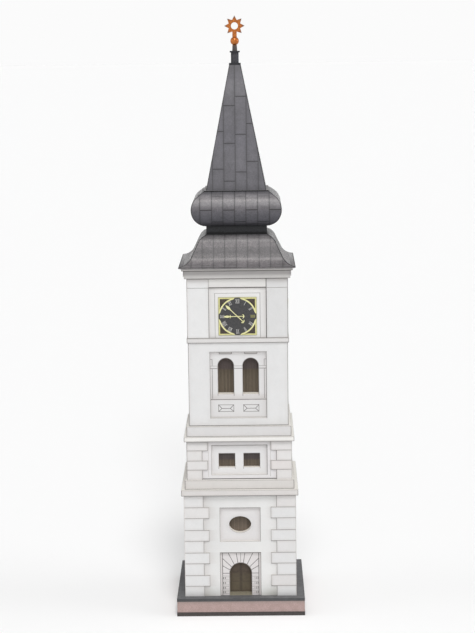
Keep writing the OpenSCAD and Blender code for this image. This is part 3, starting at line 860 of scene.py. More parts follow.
# ==========================================================================
# belfry
# ==========================================================================
def belfry():
    c = Card("print_belfry_wall")
    edge = (B_WALL - c.u).fade(3.0).max((c.z - A2_TOP).fade(6.0) * 1.2).max((B_TOP - c.z).fade(2.6) * 0.8)
    around = (c.u - BP_W).max(BP_Z0 - c.z).max(c.z - BP_Z1).fade(2.6)
    blot = c.noise(0.12, 2.0, 0.5, offset=43.0)
    shade = (1.0 - edge * 0.06) * (1.0 - around * 0.04) * (1.0 - blot.ramp(0.45, 0.75) * 0.03)
    col = card_surface(c, srgb(229, 229, 229), shade, warm=edge * 0.30 + around * 0.25)
    assign("belfry_walls", c.done(col, 0.62, paper_bump(c)))

    def zones(c):
        rail = BP_Z0 + 9.45
        above = (c.z - rail).fade(4.4) * c.z.over(rail)
        sill = (BW_Z0 - c.z).fade(2.6) * c.z.under(BW_Z0) * (c.u - BW_X).abs().ramp(BW_W / 2, BW_W / 2 + 1.0, 1.0, 0.3)
        # painted light just under the recess's top edge, lifting the shadow that edge casts on the panel
        painted_light_top = (BP_Z1 - c.z).fade(2.2)
        return (1.0 - above * 0.20) * (1.0 - sill * 0.10) * (1.0 + painted_light_top * 0.20) * c.z.ramp(rail - 0.2, rail + 0.2, 0.975, 1.0)

    def warm(c):
        return c.z.band(BW_Z0 - 1.2, 2.8) * 0.7 + (c.z - (BP_Z0 + 9.7)).abs().fade(2.0) * 0.4

    m = panel_material("print_belfry_panel", BP_W, BP_Z0, BP_Z1, B_PANEL, 0.05, 3.6, srgb(227, 226, 226), extra=zones, warm_low=warm, core=0.03, sill=BW_Z0 + 0.2)
    assign("belfry_window_panels", m)

    s = Solids()
    s.both((B_WALL - 0.13, A2_TOP), (B_WALL - 0.13, B_TOP), 0.26, B_WALL, 148, 142)
    s.line((-B_WALL, A2_TOP + 0.17), (B_WALL, A2_TOP + 0.17), 0.34, B_WALL, 112)
    s.line((-BP_W, BP_Z1 + 0.10), (BP_W, BP_Z1 + 0.10), 0.20, B_WALL, 140)
    s.line((-BP_W, BP_Z0 - 0.13), (BP_W, BP_Z0 - 0.13), 0.22, B_WALL, 180)
    s.both((BP_W + 0.13, BP_Z0 - 0.26), (BP_W + 0.13, BP_Z1 + 0.26), 0.24, B_WALL, 158, 116)
    s.build("belfry_wall_lines", INK, "wall_card")

    # printed architecture on the sunk panel
    s = Solids()
    f = B_PANEL
    w = 0.26
    p = 13.4
    hw = BW_W / 2
    s.both((p, BW_SPRING + 3.5), (p, BW_SPRING), w, f, 140)
    s.both((p, BW_SPRING - 1.3), (p, BP_Z0 + 10.0), w, f, 132)
    s.both((p, BW_SPRING + 3.5), (BP_W, BW_SPRING + 3.5), w, f, 140)
    for z, ww, g in ((BW_SPRING, 0.2, 160), (BW_SPRING - 1.3, 0.32, 132)):
        s.both((BP_W, z), (BW_X + hw + 0.03, z), ww, f, g)
        s.line((-(BW_X - hw) + 0.03, z), ((BW_X - hw) - 0.03, z), ww, f, g)
    s.line((-BP_W, BP_Z0 + 9.45), (BP_W, BP_Z0 + 9.45), 0.32, f, 116)
    s.line((-BP_W, BP_Z0 + 0.2), (BP_W, BP_Z0 + 0.2), 0.22, f, 178)
    z0, z1 = BP_Z0 + 3.0, BP_Z0 + 6.8
    zc = (z0 + z1) / 2 - 0.15
    for a, b in ((-10.55, -2.4), (2.4, 10.6)):
        s.rect(a, z0, b, z1, 0.26, f, 138)
        s.line((a + 1.9, zc), (b - 1.9, zc), 0.28, f, 118)
        for e, g in ((a, 1.9), (b, -1.9)):
            s.line((e, z0), (e + g, zc), 0.28, f, 104)
            s.line((e, z1), (e + g, zc), 0.28, f, 104)
    # arch outlines and the ticks at the sills' ends
    for sg in (-1, 1):
        n = 14
        r = hw + 0.12
        for i in range(n):
            a0, a1 = math.pi * i / n, math.pi * (i + 1) / n
            s.line((sg * BW_X + r * math.cos(a0), BW_SPRING + r * math.sin(a0)), (sg * BW_X + r * math.cos(a1), BW_SPRING + r * math.sin(a1)), 0.22, f, 150)
        for e in (-1, 1):
            u = sg * BW_X + e * (hw + 0.12)
            s.line((u, BW_Z0), (u, BW_SPRING), 0.22, f, 158)
            s.line((u, BW_Z0 - 0.8), (u, BW_Z0), 0.26, f, 140)
    s.build("belfry_panel_print", INK, "wall_card")

    # flat hoods at the top of the recess, outlined in ink
    s, lines = Solids(), Solids()
    for a, b in ((-10.0, -3.0), (3.0, 10.0)):
        z = BP_Z1 - 1.15
        s.plate([(a + 0.25, z), (b - 0.25, z), (b, BP_Z1 + 0.05), (a, BP_Z1 + 0.05)], f + 0.3, f - 0.02)
        lines.line((a + 0.25, z + 0.12), (b - 0.25, z + 0.12), 0.24, f + 0.3, 128)
        for e in (a + 0.28, b - 0.28):
            lines.line((e, z + 0.2), (e, BP_Z1 + 0.05), 0.22, f + 0.3, 120)
    s.build("belfry_hoods", band_material("print_hood", BP_Z1 - 1.4, BP_Z1 + 0.1, 30.0, srgb(205, 202, 200)), "wall_card")
    lines.build("belfry_hood_lines", INK, "wall_card")


belfry()


# ==========================================================================
# clock storey
# ==========================================================================
def clock_storey():
    c = Card("print_corner_strip")
    # the strip darkens towards K_TOP much more than at its other edges: painted shade under the main cornice
    edge = (K_STRIP - c.u).fade(2.6).max((c.u - K_FIELD).fade(3.0)).max((c.z - S_TOP).fade(2.2)).max((K_TOP - c.z).fade(5.0) * 3.3)
    base = c.mix(c.along.ramp(-6.0, 6.0), srgb(233, 233, 233), srgb(223, 223, 223))
    blot = c.noise(0.16, 2.0, 0.5, offset=53.0)
    col = card_surface(c, base, (1.0 - edge * 0.055) * (1.0 - blot.ramp(0.45, 0.75) * 0.03), warm=edge * 0.35)
    assign("clock_corner_strips", c.done(col, 0.62, paper_bump(c)))

    def frame_print(c):
        # the sheet is a little darker outside its own printed frame
        return (c.u - 11.57).ramp(-0.05, 0.05, 1.0, 0.975) * (1.0 - (11.57 - c.u).fade(2.0) * 0.04)

    m = panel_material("print_clock_field", K_FIELD, S_TOP, FRIEZE_Z0, K_WALL, 0.05, 3.0, srgb(235, 234, 233), extra=frame_print, reveal=srgb(232, 231, 230))
    assign("clock_walls", m)
    m = band_material("print_frieze", FRIEZE_Z0, K_TOP, K_FIELD, srgb(228, 227, 225), 0.05)
    assign("clock_friezes", m)

    s = Solids()
    w = 0.26
    s.both((K_STRIP - 0.13, S_TOP), (K_STRIP - 0.13, K_TOP), w, K_STRIP, 168, 118)
    s.line((-K_FIELD - 0.13, S_TOP), (-K_FIELD - 0.13, FRIEZE_Z0), 0.28, K_STRIP, 128)
    s.line((-K_FIELD - 0.13, FRIEZE_Z0), (-K_FIELD - 0.13, K_TOP), 0.24, K_STRIP, 160)
    s.line((K_FIELD + 0.17, S_TOP), (K_FIELD + 0.17, K_TOP), 0.36, K_STRIP, 82)
    s.both((K_FIELD, FRIEZE_Z0 + 0.05), (K_STRIP, FRIEZE_Z0 + 0.05), 0.24, K_STRIP, 152)
    s.line((-K_FIELD, FRIEZE_Z0 + 0.22), (K_FIELD, FRIEZE_Z0 + 0.22), 0.44, K_STRIP, 92)
    s.line((-K_STRIP, K_TOP - 0.2), (K_STRIP, K_TOP - 0.2), 0.4, K_STRIP, 118)
    s.line((-K_STRIP, S_TOP + 0.14), (K_STRIP, S_TOP + 0.14), 0.24, K_STRIP, 150)
    s.build("clock_storey_joints", INK, "wall_card")
    s = Solids()
    s.both((11.57, S_TOP), (11.57, FRIEZE_Z0 - 2.75), 0.22, K_WALL, 150)
    s.line((-11.68, FRIEZE_Z0 - 2.75), (11.68, FRIEZE_Z0 - 2.75), 0.22, K_WALL, 158)
    s.build("clock_field_frame", INK, "wall_card")


clock_storey()


# ==========================================================================
# dials
# ==========================================================================
def dial():
    c = Card("print_dial_border")
    g = c.noise(1.5, 2.0, 0.5)
    col = c.mix(g.ramp(0.3, 0.7), srgb(209, 205, 138), srgb(222, 218, 158))
    col = c.mix(c.noise(0.6, 2.0, 0.5, offset=5.0).ramp(0.5, 0.8) * 0.5, col, srgb(198, 192, 108))
    yellow = c.done(col, 0.55, paper_bump(c))
    assign("clock_squares", yellow)

    c = Card("print_dial_ring")
    g = c.noise(1.5, 2.0, 0.5)
    ring = c.done(c.mix(g.ramp(0.3, 0.7), srgb(228, 224, 158), srgb(240, 237, 180)), 0.55, paper_bump(c))

    c = Card("print_dial")
    g = c.noise(1.2, 3.0, 0.6)
    k = c.noise(6.0, 2.0, 0.6, offset=3.0)
    col = c.mix(g.ramp(0.3, 0.7), srgb(62, 62, 63), srgb(74, 73, 74))
    col = c.tone(col, (k - 0.5) * 0.3 + 1.0)
    dark = c.done(col, 0.5, paper_bump(c))
    assign("clock_dials", dark)

    c = Card("print_spandrel")
    g = c.noise(1.5, 3.0, 0.6)
    col = c.mix(g.ramp(0.3, 0.7), srgb(60, 52, 48), srgb(80, 70, 64))
    spandrel = c.done(col, 0.5, paper_bump(c))

    # dark corner spandrels inside the yellow border
    b, r_in = SQUARE - 0.92, DIAL_R + 0.02
    s = Solids()
    for sx in (-1, 1):
        for sz in (-1, 1):
            lo = math.acos(b / r_in) if b < r_in else 0.0
            arc = [(r_in * math.cos(lo + (math.pi / 2 - 2 * lo) * i / 14), r_in * math.sin(lo + (math.pi / 2 - 2 * lo) * i / 14)) for i in range(15)]
            pts = [(b, b)] + arc[::-1]
            s.plate([(sx * u, CLOCK_Z + sz * z) for u, z in pts], SQUARE_FACE + 0.03, SQUARE_FACE - 0.05)
    s.build("dial_spandrels", spandrel, "dial_paper")

    # the thin dark edge of the square
    s = Solids()
    q = SQUARE
    s.rect(-q, CLOCK_Z - q, q, CLOCK_Z + q, 0.16, SQUARE_FACE, 150)
    s.build("dial_square_edge", INK, "clock_paper")

    # the yellow ring, broken at the quarters
    s = Solids()
    r1, gap = DIAL_R + 0.06, math.radians(9.0)
    for q in range(4):
        n = 24
        a = [q * math.pi / 2 + gap + (math.pi / 2 - 2 * gap) * i / n for i in range(n + 1)]
        # each quarter narrows outwards at its ends
        r0 = [9.0 + 0.4 * max(0.0, 1.0 - min(i, n - i) / 1.7) for i in range(n + 1)]
        for i in range(n):
            quad = [(r0[i] * math.cos(a[i]), r0[i] * math.sin(a[i])), (r1 * math.cos(a[i]), r1 * math.sin(a[i])),
                    (r1 * math.cos(a[i + 1]), r1 * math.sin(a[i + 1])), (r0[i + 1] * math.cos(a[i + 1]), r0[i + 1] * math.sin(a[i + 1]))]
            s.plate([(u, CLOCK_Z + z) for u, z in quad], DIAL_FACE + 0.03, DIAL_FACE - 0.04)
    s.build("dial_ring", ring, "clock_paper")

    # Roman numerals, feet to the centre; the tint turns the three at the right yellow
    c = Card("print_numerals")
    g = c.noise(2.0, 2.0, 0.5)
    pale = c.mix(g.ramp(0.3, 0.7), srgb(184, 183, 180), srgb(212, 210, 206))
    numeral = c.done(c.mix(c.attribute("tint"), pale, srgb(170, 168, 100)), 0.55, paper_bump(c))
    s = Solids()
    height, stroke = 2.1, 0.21
    marks = {
        "I": ([((0, -1), (0, 1))], 0.50),
        "V": ([((-0.42, 1), (0, -1)), ((0.42, 1), (0, -1))], 1.15),
        "X": ([((-0.42, 1), (0.42, -1)), ((0.42, 1), (-0.42, -1))], 1.15),
    }
    names = ("XII", "I", "II", "III", "IV", "V", "VI", "VII", "VIII", "IX", "X", "XI")
    for hour, text in enumerate(names):
        total = sum(marks[ch][1] for ch in text)
        squeeze = min(1.0, 2.75 / total)
        at = -total / 2
        ang = math.radians(hour * 30)
        ca, sa = math.cos(ang), math.sin(ang)
        first = len(s.tint)

        def place(u, v):
            v = v + 7.85
            return (u * ca + v * sa, CLOCK_Z - u * sa + v * ca)

        for ch in text:
            strokes, wide = marks[ch]
            mid = (at + wide / 2) * squeeze
            at += wide
            for (u0, v0), (u1, v1) in strokes:
                s.line(place(mid + u0 * squeeze, v0 * height / 2), place(mid + u1 * squeeze, v1 * height / 2),
                       stroke if ch == "I" else stroke * 0.9, DIAL_FACE)
        for v in (-height / 2, height / 2):
            s.line(place(-total / 2 * squeeze, v), place(total / 2 * squeeze, v), 0.09, DIAL_FACE)
        s.tint[first:] = [1.0 if hour == 3 else 0.0] * (len(s.tint) - first)
    s.build("dial_numerals", numeral, "clock_paper")


dial()


def hand_outline(tip, leaf_end, leaf_w, shaft_w, tail, bar=None):
    """Half outline of a clock hand along +v, from the tail to the tip, to be mirrored."""
    h = shaft_w / 2
    pts = [(h, tail)]
    if bar:
        at, reach = bar
        pts += [(h, at - 0.28), (reach, at), (h, at + 0.28)]
    else:
        pts += [(h, leaf_end - 0.25), (h + 0.22, leaf_end - 0.05)]
    n = 9
    for i in range(n + 1):
        t = i / n
        v = leaf_end + 0.15 + (tip - leaf_end - 0.15) * t
        wide = h * 0.8 * (1 - t) + leaf_w / 2 * math.sin(math.pi * min(1.0, t ** 0.8)) ** 0.75
        pts.append((max(wide, 0.06), v))
    return pts


def hands():
    c = Card("print_hands")
    g = c.noise(1.5, 2.0, 0.5)
    mat = c.done(c.mix(g.ramp(0.3, 0.7), srgb(226, 223, 160), srgb(240, 238, 188)), 0.5, paper_bump(c))

    def make(name, node, angle, out, inn, tip, leaf_end, leaf_w, shaft_w, tail, bar, crescent):
        half_pts = hand_outline(tip, leaf_end, leaf_w, shaft_w, -tail + 0.35, bar)
        pts = half_pts + [(-u, v) for u, v in half_pts[::-1]]
        r, depth = crescent, 0.55
        moon = []
        n = 12
        for i in range(n + 1):
            a = math.radians(-72 + 144 * i / n)
            moon.append((r * math.sin(a), -tail + r - r * math.cos(a)))
        for i in range(n + 1):
            a = math.radians(72 - 144 * i / n)
            k = r * 0.86
            moon.append((k * math.sin(a) * 1.09, -tail + depth + (r - r * math.cos(a)) * 0.72))
        ca, sa = math.cos(math.radians(angle)), math.sin(math.radians(angle))
        s = Solids()

        def turn(p):
            return (p[0] * ca + p[1] * sa, CLOCK_Z - p[0] * sa + p[1] * ca)

        s.plate([turn(p) for p in pts], out, inn)
        s.plate([turn(p) for p in moon], out + 0.01, inn + 0.01)
        hub = [(0.36 * math.cos(2 * math.pi * i / 16), 0.36 * math.sin(2 * math.pi * i / 16)) for i in range(16)]
        s.plate([turn(p) for p in hub], out + 0.02, inn + 0.02)
        ob = s.build(name, mat, "hand_paper")
        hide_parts(node)
        return ob

    make("hour_hand_plates", "hour_hands", 269.0, DIAL_FACE + 0.22, DIAL_FACE + 0.06, 7.1, 3.95, 1.0, 0.36, 3.5, (3.75, 1.05), 1.15)
    make("minute_hand_plates", "minute_hands", 314.0, DIAL_FACE + 0.42, DIAL_FACE + 0.26, 8.4, 5.1, 1.15, 0.42, 4.5, None, 1.1)


hands()


# ==========================================================================
# windows and doors: boards behind the openings
# ==========================================================================
def wood_material(name, base, plain_above=None, plain=None, extra=None):
    c = Card(name)
    tint = c.attribute("tint")
    grain = c.noise(1.2, 3.0, 0.6, stretch=(3.0, 3.0, 0.35))
    fine = c.noise(3.0, 2.0, 0.6, offset=5.0, stretch=(2.0, 2.0, 0.3))
    col = c.mix(tint * 0.75 + (grain - 0.5) * 0.5 + 0.1, base[0], base[1])
    col = c.tone(col, (fine - 0.5) * 0.35 + 1.0)
    if extra is not None:
        col = c.tone(col, extra(c))
    # above plain_above the boards turn to the plain colour: a darker head, partly print and partly painted shadow
    if plain_above is not None:
        lo, hi = plain_above
        col = c.mix(c.z.ramp(lo, hi), col, c.tone(plain, (fine - 0.5) * 0.12 + 1.0))
    return c.done(col, 0.7, grain, bump_mm=0.03)


def boards():
    rng = np.random.default_rng(7)

    def fill(s, centre, wide, z0, z1, face, count, thick=0.22):
        pitch = wide / count
        for i in range(count):
            a = centre - wide / 2 + i * pitch
            lift = float(rng.uniform(-0.03, 0.03))
            s.box((a + 0.06, face - 0.05, z0), (a + pitch - 0.06, face + thick + lift, z1), tint=(i % 2) * 0.24 + float(rng.uniform(0.12, 0.52)))

    # oval windows; their boards are lighter low down and darker at the top and sides, partly print and partly painted
    # shade inside the opening
    face = G_PANEL - 2.9
    s = Solids()
    fill(s, 0.0, 2 * OVAL_A + 1.4, OVAL_Z - OVAL_B - 0.8, OVAL_Z + OVAL_B + 0.8, face, 13)
    s.build("oval_window_boards", wood_material("print_oval_boards", (srgb(85, 75, 65), srgb(117, 105, 93)),
                                                    extra=lambda c: c.z.ramp(OVAL_Z - 5.0, OVAL_Z + 4.0, 1.32, 0.92) * c.u.ramp(1.5, 6.0, 1.10, 0.84)), "window_paper")

    # second storey; the plain darker head of the boards is partly print and partly painted shadow under the opening's
    # top
    face = M_PANEL - 3.1
    s = Solids()
    for sg in (-1, 1):
        fill(s, sg * MW_X, MW_W + 1.0, MW_Z0 - 0.5, MW_Z1 + 0.5, face, 11)
    s.build("second_window_boards", wood_material("print_second_boards", (srgb(93, 83, 73), srgb(127, 115, 100)), (MW_Z1 - 4.5, MW_Z1 - 3.3), srgb(95, 87, 86)), "window_paper")

    # belfry; the plain darker head of the boards is partly print and partly painted shadow under the arch
    face = B_PANEL - 5.2
    s = Solids()
    for sg in (-1, 1):
        fill(s, sg * BW_X, BW_W + 1.0, BW_Z0 - 0.5, BW_SPRING + BW_W / 2 + 0.5, face, 11)
    s.build("belfry_window_boards", wood_material("print_belfry_boards", (srgb(92, 82, 70), srgb(126, 115, 99)), (BW_SPRING - 3.4, BW_SPRING - 1.9), srgb(100, 90, 89)), "window_paper")

    wood = wood_material("print_backing", (srgb(84, 76, 66), srgb(106, 96, 82)))
    for n in ("ground_window_backs", "second_window_backs", "belfry_window_backs", "doors"):
        assign(n, wood)


boards()


def doors():
    face = G_PANEL - 5.6
    s = Solids()
    lo = DECK

    def arch_top(u, r):
        return DOOR_SPRING + math.sqrt(max(0.0, r * r - u * u))

    for sg in (-1, 1):
        # the leaf itself
        r = DOOR_HALF + 0.3
        pts = [(0.06, lo), (r, lo), (r, DOOR_SPRING)]
        for i in range(1, 13):
            a = math.pi / 2 * i / 12
            pts.append((max(r * math.cos(a), 0.06), DOOR_SPRING + r * math.sin(a)))
        s.plate([(sg * u, z) for u, z in pts], face + 0.25, face - 0.05, tint=0.4)
        # shallow fields: two low ones and an arched one
        for z0, z1, t in ((DECK + 1.2, DECK + 5.3, 0.75), (DECK + 6.0, DECK + 10.6, 0.7)):
            s.plate([(sg * u, z) for u, z in ((0.9, z0), (5.0, z0), (5.0, z1), (0.9, z1))], face + 0.36, face + 0.2, tint=t)
        r = DOOR_HALF - 0.8
        z0 = DECK + 11.3
        pts = [(0.9, z0), (4.95, z0)]
        for i in range(13):
            a = math.pi / 2 * i / 12
            u = r * math.cos(a)
            if u < 0.9:
                break
            pts.append((u, max(DOOR_SPRING + r * math.sin(a), z0 + 0.3)))
        pts.append((0.9, arch_top(0.9, r)))
        s.plate([(sg * u, z) for u, z in pts], face + 0.36, face + 0.2, tint=0.5)
    c = Card("print_door")
    tint = c.attribute("tint")
    grain = c.noise(1.4, 3.0, 0.6, stretch=(3.0, 3.0, 0.35))
    blot = c.noise(0.7, 2.0, 0.5, offset=8.0)
    col = c.mix(tint + (blot - 0.5) * 0.8, srgb(91, 81, 70), srgb(110, 100, 82))
    col = c.tone(col, (grain - 0.5) * 0.30 + 1.0)
    col = c.mix(c.z.ramp(DECK + 7.0, DECK + 14.0), col, c.cast(c.tone(col, 1.05), (1.0, 0.965, 1.09)))
    col = c.tone(col, c.u.ramp(0.0, 0.8, 0.80, 1.0))
    s.build("door_leaves", c.done(col, 0.65, grain, bump_mm=0.03), "window_paper")

    # printed doorstep inside the opening
    s = Solids()
    s.box((-DOOR_HALF, face, DECK - 0.02), (DOOR_HALF, G_PANEL + 0.4, DECK + 0.14))
    c = Card("print_doorstep")
    g = c.noise(1.2, 3.0, 0.6)
    s.build("doorsteps", c.done(c.mix(g.ramp(0.3, 0.7), srgb(140, 134, 116), srgb(158, 151, 133)), 0.66, paper_bump(c)), "window_paper")


doors()


# ==========================================================================
# main cornice
# ==========================================================================
def main_cornice():
    c = Card("print_main_cornice")
    v = (c.z - K_TOP) / (MC_TOP - K_TOP)
    # darker upper part: painted shadow of the eaves, laid over the print
    col = c.mix(v.ramp(0.25, 0.62), srgb(201, 199, 197), srgb(173, 170, 169))
    col = c.tone(col, 1.0 - (MC - 0.3 - c.u).fade(1.6) * 0.06)
    col = card_surface(c, col, 1.0, top_light=False)
    assign("main_cornice", c.done(col, 0.62, paper_bump(c)))
    c = Card("print_fillet")
    col = card_surface(c, srgb(200, 197, 194), 1.0, top_light=False)
    assign("eaves_fillet", c.done(col, 0.62, paper_bump(c)))
    s = Solids()
    m = MC - 0.42
    s.line((-m, K_TOP + 0.1), (m, K_TOP + 0.1), 0.2, m + 0.02, 150)
    s.line((-F_HALF, MC_TOP + 0.12), (F_HALF, MC_TOP + 0.12), 0.24, F_HALF, 104)
    s.both((F_HALF - 0.1, MC_TOP + 0.24), (F_HALF - 0.1, F_TOP), 0.2, F_HALF, 150)
    s.line((-MC, MC_TOP - 0.1), (MC, MC_TOP - 0.1), 0.2, MC, 120)
    s.both((MC - 0.12, MC_TOP - 3.0), (MC - 0.12, MC_TOP - 0.2), 0.2, MC, 165)
    s.build("cornice_edges", INK, "trim_card")


main_cornice()


# ==========================================================================
# roof
# ==========================================================================
def bend(p, r, a0, a1, n):
    out = []
    for i in range(n + 1):
        a = math.radians(a0 + (a1 - a0) * i / n)
        out.append((p[0] + r * (math.sin(a) - math.sin(math.radians(a0))), p[1] + r * (math.cos(math.radians(a0)) - math.cos(a))))
    return out


def go(p, a, d):
    return (p[0] + d * math.cos(math.radians(a)), p[1] + d * math.sin(math.radians(a)))


def skirt_profile():
    z = EAVE_LOW + 1.0
    a = bend(go((EAVE, z), 165, 1.5), -7.85, 165, 115.4, 30)
    b = bend(go(a[-1], 115.4, 7.75), 7, 115.4, 163, 30)
    return [(EAVE, z)] + a + b


def bulb_profile():
    b = bend((NECK + 0.1, BULB_Z0), 8.8, 9, 90, 30)
    c = bend(go(b[-1], 90, 0.15), 8.6, 90, 132, 20)
    d = go(c[-1], 141, 3.57)
    e = go(d, 150, 1.8)
    return b + c + [d, e]


def four_sided(name, prof, material, node, close_low=None):
    """A closed square-plan body that follows one profile on all four sides, hips kept sharp."""
    prof = list(prof)
    if close_low:
        prof = list(close_low) + prof
    verts, faces = [], []
    for r, z in prof:
        for sx, sy in ((-1, -1), (1, -1), (1, 1), (-1, 1)):
            verts.append((sx * r * MM, sy * r * MM, z * MM))
    n = len(prof)
    for i in range(n - 1):
        for k in range(4):
            j = (k + 1) % 4
            faces.append([i * 4 + k, i * 4 + j, (i + 1) * 4 + j, (i + 1) * 4 + k])
    faces.append([3, 2, 1, 0])
    faces.append([(n - 1) * 4 + k for k in range(4)])
    ob = mesh_piece(name, verts, faces, material, smooth_angle=30)
    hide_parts(node)
    return ob


def roof_paper(name, stops, seams, crosses=(), seam_depth=0.12, reach=1.5, bands=(), speckle=0.5, offset=0.0, warm=0.4, hip=0.10, rough=0.46, specular=0.5, shaded=1.0, soft=0.2, sheen=0.6, sheets=0.10):
    """Printed sheet roofing: mottled grey, each sheet its own tone, soft dark edges and lighter flecked bands."""
    c = Card(name)
    along = c.along
    cloud = c.noise(0.22, 3.0, 0.6, offset=offset)
    fleck = c.noise(0.8, 3.0, 0.7, offset=offset + 3.0)
    fine = c.noise(1.8, 2.0, 0.6, offset=offset + 6.0)
    col = c.by_height(stops)
    f = (cloud - 0.5) * 0.70 + (fleck - 0.5) * 1.7 * speckle + (fine - 0.5) * 2.4 * speckle + 1.0
    dark = core = index = None
    for u in seams:
        d = (along - u).abs()
        b, n = d.fade(reach), d.fade(1.0)
        dark = b if dark is None else dark.max(b)
        core = n if core is None else core.max(n)
        step = along.over(u)
        index = step if index is None else index + step
    for u0, u1, z in crosses:
        d = (c.z - z).abs()
        here = along.over(u0) * along.under(u1)
        dark = dark.max(d.fade(reach * 0.9) * here)
        core = core.max(d.fade(0.8) * here)
    die = c.dice(index, c.x.sign() * c.on_x, c.y.sign() * (1.0 - c.on_x) + 7.0)
    f = (f + (die - 0.5) * sheets) * along.ramp(2.0, 26.0, 1.0, shaded)
    f = f * (1.0 - dark * seam_depth) * (1.0 - core * soft) * (1.0 - (c.w - c.u).fade(1.6) * hip)
    col = c.tone(col, f)
    col = c.mix(fleck.ramp(0.55, 0.8) * warm, col, c.cast(col, (1.12, 1.05, 1.0)))
    # pale flecks, thickest along the bands where the sheets catch the light
    grit = c.noise(1.25, 2.0, 0.7, offset=offset + 9.0)
    much = c.noise(0.5, 2.0, 0.5, offset=offset + 12.0).ramp(0.30, 0.70, 0.4, 1.0)
    where = None
    for z, half_w, amount in bands:
        b = c.z.band(z, half_w) * amount
        where = b if where is None else where.max(b)
    if where is not None:
        light = grit.ramp(0.55, 0.68) * where * much
        col = c.mix(light, col, c.cast(col, (1.90, 1.78, 1.68)))
    return c.done(col, rough, fleck, bump_mm=0.03, specular=specular, **{"Sheen Weight": sheen, "Sheen Roughness": 0.22, "Coat Weight": 0.14, "Coat Roughness": 0.30})


SKIRT_SEAMS = [-23.3, -17.7, -11.9, -6.2, -0.2, 5.5, 11.4, 17.2, 23.35]
BULB_SEAMS = [-18.55, -12.6, -6.85, -0.9, 4.9, 10.85, 16.8]
SPIRE_SEAMS = [-12.0, -6.2, -0.3, 5.5, 11.4]


